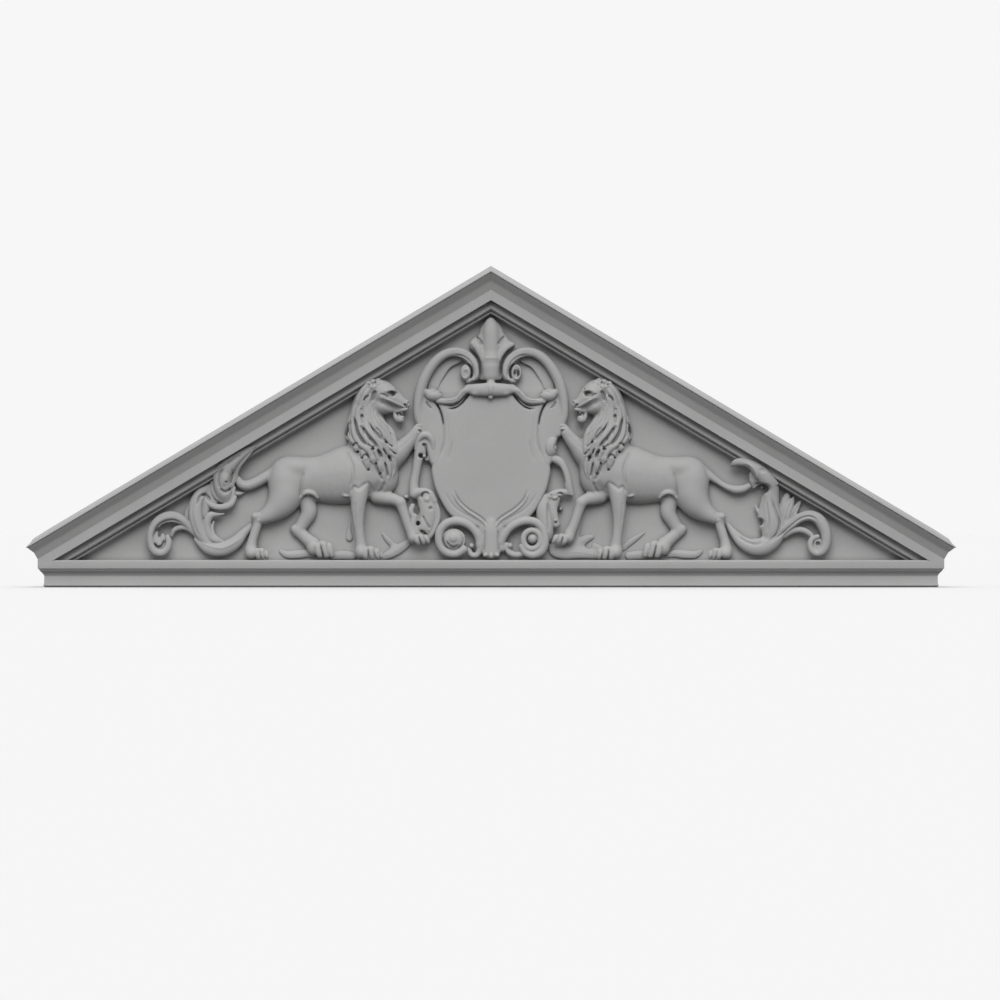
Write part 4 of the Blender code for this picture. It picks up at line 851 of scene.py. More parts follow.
def palmette(clay):
    """A fan that opens out of the neck."""
    fan = [(-0.9, 242.5), (-4.3, 240.2), (-7.9, 236), (-10.5, 231.1), (-12.1, 226.2), (-13.8, 224.2),
           (-16.4, 222.9), (-19.3, 220.3), (-21.3, 216.4), (-21.9, 212.8), (-20.6, 209.8), (-16.4, 205.3),
           (-13.1, 200.2), (-11.5, 192.9), (-11.2, 179.5), (10.1, 179.5), (10.4, 192.9), (12, 200.2),
           (15.9, 207.2), (20.8, 210.8), (23.9, 213.4), (23.1, 216), (20.5, 218.3), (17.6, 220.9),
           (15, 223.9), (13.3, 226.8), (11.4, 231.1), (8.8, 235.3), (5.2, 239.2), (2.2, 241.5)]
    clay.plate(fan, 11.5, edge=2.2, blend=0.8,
               dish=lambda P, Q, d: 3.6 * np.exp(-(P / 7.5) ** 2) - 2.2 * np.exp(d / 3.0) - 0.05 * (Q - 200))
    clay.limb([(-0.4, 186, 9, 9.4), (-0.4, 196, 9.4, 9.8), (0, 202, 9, 9)], 0.9, 1.5)
    clay.limb([(-0.6, 237.3, 10.4, 4.4), (-0.2, 228.8, 11.4, 6.4), (-0.1, 217.3, 12, 6.6),
               (-0.1, 202.7, 11.6, 6.4)], 0.6, 3)
    clay.limb([(-17.7, 216.7, 10, 3.4), (-12.8, 211.5, 11.4, 3.8), (-8.2, 201, 11.4, 3.4)], 0.7, 1.6)
    clay.limb([(20.5, 215.1, 10, 3.2), (13.7, 210.5, 11.4, 3.6), (7.8, 201, 11.4, 3.4)], 0.7, 1.6)
    clay.stroke([(-14.4, 223.4, 0.8), (-12.1, 220.3, 1.3), (-8.6, 215.4, 0.9)], 2.6)
    clay.stroke([(13.3, 223.6, 0.8), (10.4, 220, 1.3), (7.1, 215.4, 0.9)], 2.6)
    clay.stroke([(-22.4, 212.1, 1), (-17.7, 207.2, 1.2), (-13.8, 202.3, 1.2), (-11.7, 195.1, 1),
                 (-11, 181.4, 0.9)], 2.6)
    clay.stroke([(24.8, 214.4, 1), (18.2, 209.2, 1.2), (13, 203, 1.2), (10.6, 195.1, 1),
                 (9.7, 181.4, 0.9)], 2.6)
    clay.stroke([(-6.3, 201.3, 1.2), (0.3, 202.3, 1.5), (6.8, 201.3, 1.2)], -0.9)
    clay.stroke([(-7.6, 196.1, 1.6), (0.3, 196.8, 1.8), (7.8, 196.1, 1.6)], 0.5)
    # Lambrequin over the middle of the shield
    clay.limb([(-22.3, 171, 13.4, 4.6), (-14.4, 170.3, 15, 6.2), (-6.3, 170.3, 16, 6.8),
               (-0.1, 170.7, 16.6, 7.2), (6.5, 170.3, 16, 6.8), (13.7, 170.3, 15, 6.2),
               (21.2, 171, 13.4, 4.6)], 0.75, 0.7)
    clay.ball(-0.1, 176.9, 14, 4.2, 3.0, 4, 0, 1.2)
    clay.ball(-0.4, 163.1, 16, 2.4, 2.8, 3, 0, 0.6)
    clay.ball(-15.4, 167.1, 15.4, 4.6, 3.2, 4, 0, 1.0)
    clay.ball(14, 167.1, 15.4, 4.6, 3.2, 4, 0, 1.0)
    clay.stroke([(-3, 173.3, 0.7), (-2.7, 167.6, 0.9), (-1.7, 163.5, 0.6)], 0.9)
    clay.stroke([(2.9, 173.3, 0.7), (2.2, 167.6, 0.9), (0.9, 163.5, 0.6)], 0.9)
    clay.stroke([(-21, 177.5, 1), (-11.2, 178.2, 1.3), (-4.6, 178.8, 1)], 2.4)
    clay.stroke([(4.3, 178.5, 1), (11.7, 178.2, 1.3), (19.9, 177.5, 1)], 2.4)


def left_scroll(name):
    """Leafy scroll in the left corner, where the left lion's tail ends."""
    clay = Clay((232, 348), (GROUND, 121), 22, FINE)
    # Stem, and the broad leaf that rises from it
    clay.limb([(240, 33.4, 3, 3.4), (247.2, 26.7, 4, 4.6), (254.4, 18.6, 5.4, 6.4), (263, 13, 6.4, 7.2),
               (272.6, 10.4, 7, 7.2), (282.1, 11.9, 7.4, 6.4), (289.8, 16.5, 7.6, 4.2),
               (295.5, 21, 7, 1.8)], 0.85, 1)
    clay.stroke([(291.7, 18.4, 0.8), (280.2, 13.8, 1.2), (269.7, 11.9, 1.2), (259.2, 15.7, 1.2),
                 (249.6, 22.4, 0.9)], -0.9)
    clay.limb([(301.3, 54, 4, 2.6), (303.9, 44.4, 5, 3), (300.3, 35.3, 6, 3.2),
               (294.6, 26.2, 7, 3.2)], 0.8, 0.8)
    clay.limb([(284, 72.6, 6, 2.6), (290.5, 66.8, 7.6, 5.2), (294.9, 56.9, 8.4, 6.7),
               (295.5, 45.4, 8.8, 7.2), (293, 33.9, 8.8, 6.8), (288.6, 24.3, 8.4, 6.2),
               (282.9, 16.7, 8, 5)], 0.8, 1)
    clay.plate([(295.3, 25.9), (299, 36.8), (301.2, 47.6), (300.3, 58.2), (295.7, 66.7), (289.2, 72.1),
                (280.8, 76.7), (274.3, 69.3), (269.3, 61), (274.3, 55.2), (278.6, 51.7), (284.7, 46.3),
                (286.8, 37.8), (285.8, 27), (282.9, 19.4), (290.5, 20.5)], 8.0, edge=2.6, blend=1.6)
    clay.limb([(285.1, 60.6, 6, 3.2), (284.5, 54.1, 6.4, 3.8), (286.2, 44.3, 6.4, 3.2)], 0.9, 1.2)
    clay.stroke([(293.8, 54, 0.8), (291.9, 61.5, 1.2), (287.9, 65.3, 1.3), (283.8, 63.6, 1.2),
                 (280, 58.6, 0.8)], 2.8)
    clay.drill(282.1, 56.7, 1.8, 3.4)
    clay.stroke([(297.4, 58.8, 0.9), (298.6, 45.4, 1.2), (295.5, 32, 1.1), (290.7, 23.4, 0.8)], 0.7)
    # Hooked leaf and thin leaf inside it
    clay.limb([(273.5, 19, 8, 3.2), (280.2, 22.4, 9, 4), (283.5, 30.6, 9.8, 4), (283.7, 38.7, 10.2, 4),
               (280.4, 44.4, 10.4, 3.8), (274.5, 46.1, 10, 3.2), (268, 46.9, 9, 1.8)], 0.95, 0.5)
    clay.limb([(277.7, 38.1, 7.6, 1.4), (279.1, 32, 8.4, 2), (277.9, 25.9, 8.8, 2.2),
               (274.3, 21.3, 8.8, 2.3), (269.1, 18.2, 8, 2)], 1, 0.4)
    # Upper leaf, which crosses the bed mould, and the bud in its bowl
    clay.limb([(236.2, 114.1, 17.6, 1.8), (245.8, 107.2, 17, 3.4), (254.4, 100.4, 15.6, 5),
               (262, 93.2, 13.4, 7), (267.6, 85.6, 11.4, 8.6), (268.5, 77, 10.2, 9.4),
               (267.2, 67.9, 9, 8.4), (264.9, 61.2, 8, 5)], 0.8, 1.6)
    clay.limb([(279.1, 78.9, 7, 2), (277.1, 68.3, 7.8, 2.8), (272, 61.5, 8.4, 3.2), (264.9, 59.5, 8.6, 3),
               (259.4, 63.4, 8.4, 2.7), (256.9, 72.2, 8, 1.8)], 0.9, 1.4)
    clay.limb([(276.6, 81.7, 12, 1.8), (274.3, 90.2, 15, 2.6), (267.6, 96.5, 16.6, 2.8),
               (259.4, 102.2, 17.4, 2.4), (250.6, 107.8, 18, 1.8), (242.9, 112, 18, 1.4)], 1, 0.9)
    clay.limb([(255.3, 78.9, 9, 1.8), (254.4, 88, 11, 2.4), (251.1, 94.9, 13.4, 2.4),
               (243.9, 103, 15.6, 1.8), (238, 110.4, 17, 1.4)], 1, 0.9)
    clay.ball(265.9, 81.5, 14.4, 4.6, 9.4, 5, 12, 0.3)
    clay.stroke([(266.6, 91.3, 0.9), (271.2, 85.4, 1.3), (272.2, 77, 1.2), (270.6, 71.7, 1)], 2.6)
    clay.stroke([(271, 71.6, 0.9), (265.7, 67.8, 1.4), (259.9, 71.8, 0.9)], 3)
    clay.limb([(255.6, 94, 9.6, 2.6), (257.6, 84, 9.2, 3.2), (259.4, 74.6, 8.4, 2.8)], 0.9, 0.8)
    clay.stroke([(258.4, 91.3, 0.6), (259, 82.7, 0.8), (260.9, 75, 0.6)], 1.0)
    clay.drill(264.9, 77.9, 1.0, 2.2)
    clay.stroke([(264.4, 94.9, 0.8), (256.3, 100.4, 1.1), (249.6, 104.7, 0.8)], 1.3)
    clay.limb([(284, 57.8, 7.6, 2.6), (276.4, 53.4, 9.4, 3.4), (268.7, 52.5, 10, 3.6),
               (260.6, 55.3, 10, 3.4), (256.1, 62.4, 9, 2.2)], 0.95, 0.5)
    clay.stroke([(279.1, 49.6, 0.9), (271.6, 47.7, 1.3), (264.4, 49, 0.9)], 2.6)
    clay.limb([(256.8, 66.4, 6, 2.6), (251.5, 66.4, 5.6, 2), (247.2, 67.4, 4, 0.8)], 1, 0.8)
    # Volute, the thin band inside it and the flower in its eye
    clay.limb([(294.6, 25.8, 7, 3), (300.3, 32, 7.4, 3.6), (306, 37.7, 8, 4.4), (312.7, 41.7, 8.8, 5.2),
               (320.4, 43.3, 9.6, 5.7), (328, 41.6, 10.2, 5.3), (334.5, 37, 10.6, 4.8),
               (338.8, 30.1, 10.8, 4.4), (340.5, 22.4, 11, 4.2), (339.5, 14.3, 11, 4.2),
               (335.2, 8.5, 11.2, 4.2), (329.2, 7.3, 11.2, 4), (324.2, 10.9, 11.2, 3.6),
               (322.1, 17.4, 11, 3.2), (323.4, 22.9, 10.6, 2.6)], 0.95, 0.5)
    clay.stroke([(308, 43.5, 0.8), (312.7, 45.9, 1), (319.4, 47.3, 1), (327.1, 46.1, 1), (334.7, 41.4, 1),
                 (340, 33.9, 1), (341.9, 24.3, 1), (341, 15.7, 1), (336.7, 10, 0.8)], -0.7)
    clay.stroke([(308.9, 36.6, 0.8), (317.5, 40, 1), (327.1, 38.3, 1), (333.6, 33.5, 1), (336.7, 26.2, 1),
                 (337.4, 19.6, 0.8)], 1.6)
    clay.limb([(319.6, 24.3, 6, 1.8), (316.4, 30.3, 7, 2.4), (308.9, 32.8, 7.4, 2.6),
               (301.3, 30.6, 7.4, 2.8), (293.6, 24.3, 7, 3)], 0.95, 0.5)
    clay.ball(330.9, 16.7, 6, 7, 7, 5, 0, 0.6)
    for knots in ([(334.8, 27.4, 7, 2.2), (335.4, 21.6, 8.6, 3.2), (332.6, 15.7, 9.2, 3.2)],
                  [(328.2, 24.6, 8, 2), (328.6, 20, 9.4, 2.8), (330.5, 15.2, 9.6, 2.8)]):
        clay.limb(knots, 0.9, 1.2)
    clay.stroke([(337.1, 17.1, 0.7), (333.3, 13, 1.1), (328.4, 15, 1.1), (327.6, 20.3, 0.7)], 1.8)
    return clay.mesh(name, -1)


def right_scroll(name):
    """Leafy scroll in the right corner, where the right lion's tail ends."""
    clay = Clay((229, 346), (GROUND, 106), 22, FINE)
    clay.limb([(236.3, 36, 4, 2), (242, 27.6, 5, 4), (249.7, 19.1, 6, 5.8), (257.8, 14.3, 6.6, 7.2),
               (266.4, 13, 7, 8.6), (275, 14.8, 7.4, 8.6), (282.7, 20.5, 7.6, 8),
               (288.4, 29.1, 7.4, 6.6)], 0.8, 1.2)
    # Body of the leaf, up to the roll at the top
    clay.limb([(279.8, 20.5, 6.6, 8), (281.7, 31, 7.6, 9.6), (281.3, 41.6, 8, 9.6), (279.8, 53, 8.4, 8.6),
               (280.2, 63.6, 9, 7.8), (280, 72.2, 10.4, 7.8), (276.7, 79.8, 13, 8.4), (271, 86.7, 14.6, 8),
               (264.3, 92.3, 15.6, 6.8), (256.8, 96.5, 16, 5.4), (250.1, 98.2, 15.4, 4.3),
               (244.6, 97.2, 13.4, 3.6), (240.8, 94.7, 10.4, 1.8)], 0.85, 1)
    clay.limb([(275, 60.7, 6.4, 5), (274.2, 53, 6.6, 6), (273.3, 45.4, 6.6, 6.6), (273.7, 38.7, 6.6, 7),
               (276.3, 30.1, 6.6, 6.4)], 0.85, 2)
    clay.limb([(263.1, 91.3, 12.4, 5), (262.6, 84.6, 11, 4.6), (261.8, 78.9, 10, 3.6),
               (262.8, 72.9, 8.8, 1.8)], 0.9, 1)
    clay.limb([(265.4, 79.3, 11, 2.4), (272.1, 81.5, 15, 3), (279.8, 80.6, 15.6, 2.8),
               (285.5, 76.5, 15, 2)], 1, 1)
    clay.limb([(263.3, 72.9, 8.6, 1.8), (268.3, 75.2, 9.2, 2.2), (276, 76.6, 9.6, 2)], 1, 0.6)
    clay.stroke([(253.2, 97.8, 0.8), (260.7, 93, 1.2), (264.5, 86.5, 1.2), (265.4, 78.9, 0.8)], -1.3)
    clay.stroke([(251.1, 94.9, 0.8), (257.3, 91.3, 1.1), (260.7, 84.6, 1), (261.6, 78.9, 0.7)], 1.2)
    clay.drill(271.2, 89.4, 3.2, 1.3, 0.6, -20)
    clay.drill(272.1, 71.4, 5.4, 13, 0.72)
    clay.ball(271.2, 72.9, 2, 2.0, 2.0, 6, 0, 0.3)
    clay.limb([(264.3, 54.9, 5, 0.9), (266.8, 49.2, 7, 1.8), (270.8, 43.5, 7.4, 2.2)], 1, 0.4)
    clay.drill(269.1, 37.9, 3.1, 9)
    clay.stroke([(279.8, 62.6, 0.9), (282.7, 53, 1.3), (286.5, 43.5, 1.3), (288.4, 35.8, 1.3),
                 (285.5, 26.2, 1.2), (277.9, 18.6, 0.8)], 2.4)
    clay.stroke([(275, 58.8, 0.8), (276.5, 47.3, 1.1), (277.5, 37.7, 1.1), (276, 28.2, 0.8)], 1.3)
    clay.stroke([(245.4, 28, 0.8), (253, 22, 1.2), (262.6, 18.4, 1.2), (270.2, 21.1, 1.2),
                 (273.3, 29.1, 0.8)], -1.0)
    clay.stroke([(247.3, 23.4, 0.8), (254.9, 18, 1.1), (264.5, 15, 1.1), (272.9, 18, 0.9)], 0.9)
    # Pointed leaves beside the volute
    clay.limb([(290.3, 32, 5.4, 5), (292, 45.4, 5.4, 6), (294.1, 56.9, 5, 5.4),
               (296.5, 64.5, 4.4, 3)], 0.75, 1)
    clay.limb([(292.4, 33.4, 7, 4.4), (295.5, 45.4, 7.6, 5.2), (298.9, 54.9, 7, 4.2),
               (302.8, 62.8, 5, 1.2)], 0.85, 0.5)
    clay.limb([(297, 35.8, 6, 4.4), (302, 46.7, 6.4, 4.4), (309.3, 58.3, 5, 1.4)], 0.85, 0.5)
    clay.stroke([(293.8, 37.7, 0.7), (296.2, 49.2, 1), (300.1, 58.3, 0.7)], 1.4)
    clay.stroke([(299.4, 40.1, 0.7), (303.7, 48.3, 0.9), (307.5, 54.9, 0.6)], 1.0)
    # Volute, the thin band inside it and its eye
    clay.limb([(275, 16.2, 6, 4), (282.7, 22.4, 7, 4.4), (291.3, 29.1, 8, 4.6), (299.9, 35.8, 8.8, 4.8),
               (309.4, 42, 9.4, 4.9), (319, 44.2, 10, 5.2), (327.1, 41.1, 10.4, 5.8),
               (332.4, 33.9, 10.6, 6), (335.1, 25.8, 10.8, 5.6), (335.1, 17.2, 11, 5), (331.9, 10, 11, 4.4),
               (326.2, 6.9, 11.2, 3.8), (321.1, 10, 11.2, 3.6), (319.5, 16.2, 11, 3.4),
               (321.9, 21.5, 10.8, 3), (326.7, 23.4, 10.4, 2.4)], 0.95, 0.5)
    clay.stroke([(281.7, 24.3, 0.8), (290.3, 31.2, 1), (299.9, 40.4, 1), (310.4, 46.8, 1), (319, 48.7, 1),
                 (327.6, 45.9, 1), (334.3, 38.5, 1), (338, 29.1, 1), (338, 19.6, 0.8)], -0.8)
    clay.stroke([(276, 15.7, 0.8), (290.3, 25.8, 1), (299.9, 34.3, 1), (309.4, 41.4, 1), (319, 43.5, 1),
                 (326.2, 39.4, 0.8)], 1.6)
    clay.limb([(293.2, 24.3, 6, 3), (299.9, 28.4, 7, 3.2), (307.5, 30.3, 7.6, 3.2), (314.2, 28.9, 8, 3),
               (320, 25.3, 8.4, 2.6)], 0.95, 0.5)
    clay.ball(327, 15.4, 7, 7.4, 7.6, 5.6, 0, 0.5)
    clay.drill(326.8, 16.1, 2.1, 5)
    clay.stroke([(323, 20.5, 0.7), (321.9, 14.8, 0.9), (323.8, 10, 0.9), (328.8, 8.8, 0.7)], 0.9)
    return clay.mesh(name, 1)


def ground_leaves(name, side, leaves):
    """Low leaves on the ground behind the paws, each a limb with a rib down its middle."""
    clay = Clay((56, 224), (GROUND, 50), 9, BROAD)
    for knots in leaves:
        clay.limb([(u, v, 0.4 * out, r) for u, v, out, r in knots], 0.5, 4)
    for knots in leaves:
        clay.stroke([(u, v + 0.5, 0.8) for u, v, _, _ in knots], -0.5)
    return clay.mesh(name, side)


def moulding_body(name):
    """Slab, base moulding and raking cornice as one closed mesh."""
    weathering_fall, weathering_back, lip_face = 0.009, 0.010, 0.0055
    cyma_tall, corona_tall, bed_tall, bead_tall = 0.0385, 0.024, 0.021, 0.0135
    cove_tall, cove_reach, ledge_tall = 0.0190, 0.0127, 0.0225
    neck_round, nose_round, corona_round, arris = 0.0014, 0.0046, 0.0009, 0.0004
    overlap, end_inset = 0.011, 0.02
    lip_end = weathering_fall + lip_face
    cyma_end = lip_end + cyma_tall
    corona_end = cyma_end + corona_tall
    bed_end = corona_end + bed_tall
    reach = LIP_OUT - CORONA_OUT
    depth = CORONA_OUT + TYMPANUM_RECESS
    cyma = smooth_path([(0.0, 0.85), (0.05, 0.845), (0.2, 0.69), (0.35, 0.51), (0.48, 0.36), (0.62, 0.255),
                        (0.78, 0.15), (0.9, 0.07), (1.0, 0.0)], 3)
    bed = smooth_path([(0.0, 0.36), (0.3, 0.345), (0.7, 0.31), (0.86, 0.33), (1.0, 0.44)], 3)
    bead = smooth_path([(0.04, 0.54), (0.14, 0.53), (0.32, 0.50), (0.46, 0.50), (0.58, 0.54), (0.68, 0.64),
                        (0.76, 0.80)], 3)
    top = [(0, BACK_OUT), (0, -weathering_back), (0.25 * weathering_fall, LIP_OUT - 0.6 * reach),
           (weathering_fall, LIP_OUT - 0.3 * reach),
           (weathering_fall + 0.3 * lip_face, LIP_OUT - 0.04 * reach),
           (weathering_fall + 0.5 * lip_face, LIP_OUT), (lip_end - arris, LIP_OUT),
           (lip_end, LIP_OUT - 1.5 * arris)]
    top += [(lip_end + a * cyma_tall + arris / 2, CORONA_OUT + b * reach) for a, b in cyma]
    top += [(cyma_end + 0.05 * corona_tall, CORONA_OUT),
            (corona_end - corona_round, CORONA_OUT), (corona_end, CORONA_OUT - corona_round)]
    top += [(corona_end + arris + a * bed_tall, CORONA_OUT - b * depth) for a, b in bed]
    top += [(bed_end + a * bead_tall, CORONA_OUT - b * depth) for a, b in bead]
    top += [(bed_end + 0.8 * bead_tall, CORONA_OUT - depth), (bed_end + 0.8 * bead_tall, BACK_OUT)]
    cove_end = LEDGE_Z - ledge_tall
    cove = smooth_path([(0.0, 0.0), (0.15, 0.1), (0.42, 0.38), (0.7, 0.8), (0.86, 0.96), (0.97, 1.0)], 3)
    foot = [(0, BACK_OUT), (0, -0.0015), (0.0030, 0.0016), (0.0044, 0.0022), (0.0105, 0.0003),
            (FASCIA_TALL - arris, 0)]
    foot += [(FASCIA_TALL + a * cove_tall, b * cove_reach) for a, b in cove]
    round_low = [(cove_end + neck_round * (1 - math.cos(t)), CORONA_OUT - neck_round * (1 - math.sin(t)))
                 for t in (0, 0.5, 1.0, 1.5708)]
    round_high = [(LEDGE_Z - nose_round * (1 - math.sin(t)), CORONA_OUT - nose_round * (1 - math.cos(t)))
                  for t in (0, 0.4, 0.8, 1.2, 1.5708)]
    foot += round_low + round_high + [(LEDGE_Z, BACK_OUT)]
    base = mitred("base", foot, lambda x, z: z)
    cornice = mitred("cornice", top, lambda x, below: rake_line(x) - below / math.cos(RAKE))
    cut_below(cornice, LEDGE_Z - overlap)
    slab_half, under_cyma = HALF - end_inset, cyma_end / math.cos(RAKE)
    line = [(-slab_half, FASCIA_TALL), (slab_half, FASCIA_TALL)]
    line += [(x, rake_line(x) - under_cyma) for x in (slab_half, 0, -slab_half)]
    bm = bmesh.new()
    front = [bm.verts.new((x, WALL_Y, z)) for x, z in line]
    back = [bm.verts.new((x, y_of(BACK_OUT), z)) for x, z in line]
    bm.faces.new(front)
    bm.faces.new(back)
    for i in range(len(line)):
        j = (i + 1) % len(line)
        bm.faces.new((front[i], front[j], back[j], back[i]))
    slab = bmesh_object("slab", bm)
    for other in (base, cornice):
        union = slab.modifiers.new("join", "BOOLEAN")
        union.operation = "UNION"
        union.solver = "EXACT"
        union.object = other
    whole = bpy.data.meshes.new_from_object(slab.evaluated_get(bpy.context.evaluated_depsgraph_get()))
    for part in (slab, base, cornice):
        bpy.data.objects.remove(part)
    obj = bpy.data.objects.new(name, whole)
    bpy.context.scene.collection.objects.link(obj)
    whole.shade_smooth()
    whole.set_sharp_from_angle(angle=math.radians(28))
    return obj


def bmesh_object(name, bm):
    """An object from a finished bmesh."""
    bmesh.ops.remove_doubles(bm, verts=bm.verts, dist=1e-6)
    bmesh.ops.recalc_face_normals(bm, faces=bm.faces)
    mesh = bpy.data.meshes.new(name)
    bm.to_mesh(mesh)
    bm.free()
    obj = bpy.data.objects.new(name, mesh)
    bpy.context.scene.collection.objects.link(obj)
    return obj


def mitred(name, profile, height):
    """Sweep a profile round the front and both ends, mitred at the corners and in the middle."""
    def ring(x_of, y_back=False):
        return [(x_of(out), y_of(BACK_OUT if y_back else out), height(abs(x_of(out)), size))
                for size, out in profile]

    rows = [ring(lambda out: -(HALF + out), True), ring(lambda out: -(HALF + out)), ring(lambda out: 0.0),
            ring(lambda out: HALF + out), ring(lambda out: HALF + out, True)]
    bm = bmesh.new()
    rings = [[bm.verts.new(p) for p in row] for row in rows]
    for one, two in zip(rings, rings[1:]):
        for i in range(len(profile)):
            j = (i + 1) % len(profile)
            bm.faces.new((one[i], one[j], two[j], two[i]))
    bm.faces.new(rings[0])
    bm.faces.new(rings[-1])
    return bmesh_object(name, bm)


def cut_below(obj, z):
    """Cut an object off flat at a height and close the cut."""
    bm = bmesh.new()
    bm.from_mesh(obj.data)
    bmesh.ops.bisect_plane(bm, geom=bm.verts[:] + bm.edges[:] + bm.faces[:], plane_co=(0, 0, z),
                           plane_no=(0, 0, -1), clear_outer=True)
    bmesh.ops.triangle_fill(bm, edges=[e for e in bm.edges if e.is_boundary], use_beauty=True)
    bmesh.ops.recalc_face_normals(bm, faces=bm.faces)
    bm.to_mesh(obj.data)
    bm.free()


def stone():
    """Grey cast stone: even matt grey, faintly mottled, with shade painted darker into its recesses."""
    material = bpy.data.materials.new("grey cast stone")
    material.use_nodes = True
    nodes, links = material.node_tree.nodes, material.node_tree.links
    shader = nodes["Principled BSDF"]
    shader.inputs["Roughness"].default_value = 0.85
    shader.inputs["Specular IOR Level"].default_value = 0.25
    place = nodes.new("ShaderNodeTexCoord")

    def noise(scale, detail, rough):
        node = nodes.new("ShaderNodeTexNoise")
        node.inputs["Scale"].default_value = scale
        node.inputs["Detail"].default_value = detail
        node.inputs["Roughness"].default_value = rough
        links.new(place.outputs["Object"], node.inputs["Vector"])
        return node.outputs["Fac"]

    def remap(value, low, high, to_low, to_high):
        node = nodes.new("ShaderNodeMapRange")
        for socket, number in zip(("From Min", "From Max", "To Min", "To Max"), (low, high, to_low, to_high)):
            node.inputs[socket].default_value = number
        links.new(value, node.inputs["Value"])
        return node.outputs["Result"]

    def times(value, other):
        node = nodes.new("ShaderNodeMath")
        node.operation = "MULTIPLY"
        links.new(value, node.inputs[0])
        if isinstance(other, float):
            node.inputs[1].default_value = other
        else:
            links.new(other, node.inputs[1])
        return node.outputs[0]

    clouds = remap(noise(5.0, 4, 0.6), 0.3, 0.7, 0.955, 1.045)
    grain = remap(noise(420.0, 2, 0.6), 0.3, 0.7, 0.965, 1.035)
    # Painted shade: ambient occlusion darkens the colour in recesses, where shadow falls
    ao = nodes.new("ShaderNodeAmbientOcclusion")
    ao.inputs["Distance"].default_value = 0.018
    ao.samples = 6
    painted_shade = remap(ao.outputs["AO"], 0.15, 0.85, HOLLOW_SHADE, 1.0)
    tone = times(times(clouds, grain), painted_shade)
    colour = nodes.new("ShaderNodeCombineColor")
    for i, share in enumerate(STONE):
        links.new(times(tone, share), colour.inputs[i])
    links.new(colour.outputs[0], shader.inputs["Base Color"])
    bump = nodes.new("ShaderNodeBump")
    bump.inputs["Strength"].default_value = 0.35
    bump.inputs["Distance"].default_value = 0.0006
    links.new(noise(260.0, 4, 0.65), bump.inputs["Height"])
    links.new(bump.outputs["Normal"], shader.inputs["Normal"])
    return material


def right_bend(u):
    """The right lion's fore part stands a little nearer the middle than the left one's."""
    t = min(max((u - 85) / 30, 0), 1)
    return u - 5 * t * t * (3 - 2 * t)


LEFT_LEAVES = (
    [(210, 8.4, 1.4, 2.4), (204, 5.4, 2.4, 3.8), (194, 5.6, 3, 4.4), (184, 6.6, 2.6, 4), (178, 5, 2, 3)],
    [(110, 2, 3, 3), (101, 6, 4, 4.4), (90, 12.4, 4.4, 4.6), (80, 20, 4, 2.6)],
    [(98, 15, 1, 2.6), (103, 20, 1.6, 3.2), (108, 26, 1, 1.8)],
    [(141.4, 36, 0.6, 1.4), (142, 29, 1.4, 2.2), (141.8, 22, 2.2, 3.6)],
    [(158, 4, 2, 4), (148, 5, 3, 4.6), (138, 4, 2, 4)],
)
RIGHT_LEAVES = (
    [(60.6, 14, 4, 3.6), (64, 9, 5, 5.6), (73, 7, 5, 6.6), (86, 7.6, 4, 6.6), (98, 6, 3, 5), (110, 3, 2, 3)],
    [(80, 18, 2, 4.6), (85, 30, 3, 4.6), (90.4, 43, 1.4, 1)],
    [(88, 16, 3, 4), (95, 21, 3, 4), (101, 23, 2, 2.4)],
    [(104, 14, 1, 3), (110, 10, 2, 4), (118, 5, 2, 4)],
    [(132, 12, 1.4, 3), (142.8, 20.4, 2.4, 3), (153.6, 27.4, 1, 1.2)],
    [(158, 4, 2, 4), (148, 5, 3, 4.6), (138, 4, 2, 4)],
    [(210, 8.4, 1.4, 2.4), (204, 5.4, 2.4, 3.8), (194, 5.6, 3, 4.4), (184, 6.6, 2.6, 4), (178, 5, 2, 3)],
)
LEFT_TAIL = [(210, 92, 3, 6.4), (217, 88, 4, 5.6), (226, 82.6, 5, 5.4), (236, 77, 5.4, 5.4),
             (244, 74.4, 6, 5.2), (250, 76, 6.4, 4.6), (254, 81, 7, 3.6)]
RIGHT_TAIL = [(210, 92.4, 3, 6.2), (218, 89, 4, 4.6), (225.4, 83.2, 5, 4), (233, 77.8, 5.4, 3.2),
              (240.6, 73.2, 6, 3.2), (249.2, 70.4, 6.4, 4.2), (257, 71, 7, 4), (263, 74, 8, 3)]


def build():
    """Every visible piece of the casting."""
    yield moulding_body("pediment_body")
    yield lion("lion_left", -1, LEFT_TAIL)
    yield lion("lion_right", 1, RIGHT_TAIL, right_bend)
    yield left_strap("strap_left")
    yield right_strap("strap_right")
    yield cartouche("cartouche")
    yield left_scroll("scroll_left")
    yield right_scroll("scroll_right")
    yield ground_leaves("ground_left", -1, LEFT_LEAVES)
    yield ground_leaves("ground_right", 1, RIGHT_LEAVES)


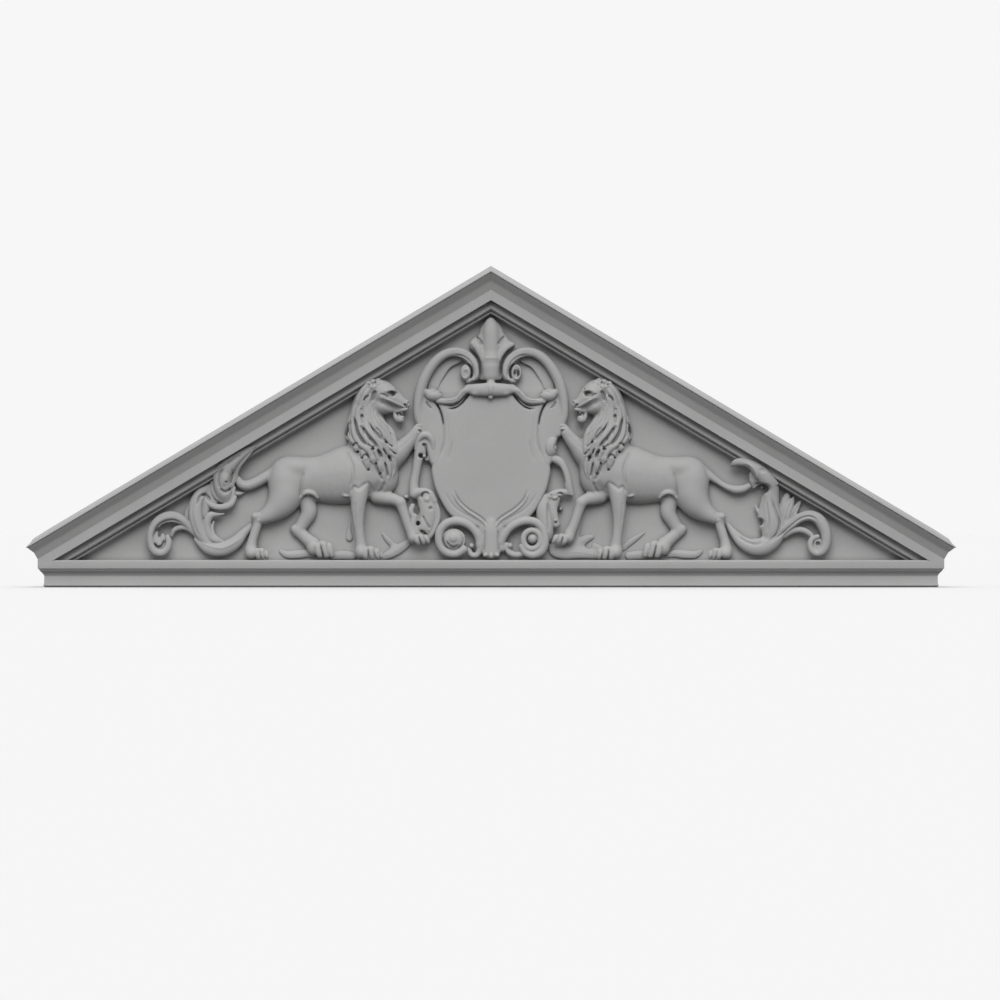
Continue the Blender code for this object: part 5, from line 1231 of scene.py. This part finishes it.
def studio():
    """Plain soft light, a pale floor, and the camera at the photograph's viewing angle."""
    scene = bpy.context.scene
    scene.view_settings.view_transform = "Standard"
    scene.view_settings.look = "None"
    world = bpy.data.worlds.new("studio")
    scene.world = world
    world.use_nodes = True
    nodes, links = world.node_tree.nodes, world.node_tree.links
    sky = nodes["Background"]
    place = nodes.new("ShaderNodeTexCoord")
    parts = nodes.new("ShaderNodeSeparateXYZ")
    links.new(place.outputs["Generated"], parts.inputs[0])
    ramp = nodes.new("ShaderNodeValToRGB")
    stops = ramp.color_ramp.elements
    stops[0].position, stops[1].position = SKY[0][0], SKY[1][0]
    for height, _ in SKY[2:]:
        stops.new(height)
    for stop, (_, level) in zip(stops, SKY):
        stop.color = (level, level, level, 1)
    shift = nodes.new("ShaderNodeMath")
    shift.operation = "MULTIPLY_ADD"
    shift.inputs[1].default_value = shift.inputs[2].default_value = 0.5
    links.new(parts.outputs["Z"], shift.inputs[0])
    links.new(shift.outputs[0], ramp.inputs[0])
    links.new(ramp.outputs["Color"], sky.inputs["Color"])
    key = bpy.data.lights.new("key", "SUN")
    key.energy, key.angle = KEY_STRENGTH, math.radians(KEY_SPREAD)
    lamp = bpy.data.objects.new("key", key)
    lamp.rotation_euler = (math.radians(KEY_TILT), 0, 0)
    scene.collection.objects.link(lamp)
    bpy.ops.mesh.primitive_plane_add(size=FLOOR_SIZE, location=(0, 0, -0.0005))
    floor = bpy.context.object
    floor.name = "floor"
    paint = bpy.data.materials.new("pale floor")
    paint.use_nodes = True
    shader = paint.node_tree.nodes["Principled BSDF"]
    shader.inputs["Base Color"].default_value = (FLOOR, FLOOR, FLOOR, 1)
    shader.inputs["Roughness"].default_value = 0.9
    shader.inputs["Specular IOR Level"].default_value = 0.0
    floor.data.materials.append(paint)
    floor.visible_diffuse = False
    data = bpy.data.cameras.new("camera")
    data.sensor_width = SENSOR
    data.lens = SENSOR * CAMERA_FAR / (PICTURE * PART)
    data.clip_end = 200
    camera = bpy.data.objects.new("camera", data)
    camera.location = ((PICTURE / 2 - MIDDLE_COLUMN) * PART, -CAMERA_FAR,
                       (UNDERSIDE_ROW - PICTURE / 2) * PART)
    camera.rotation_euler = (math.pi / 2, 0, 0)
    scene.collection.objects.link(camera)
    scene.camera = camera


def main():
    finish = stone()
    for piece in build():
        piece.data.materials.clear()
        piece.data.materials.append(finish)
        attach(piece, "root")
        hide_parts(NODE)
    studio()


main()
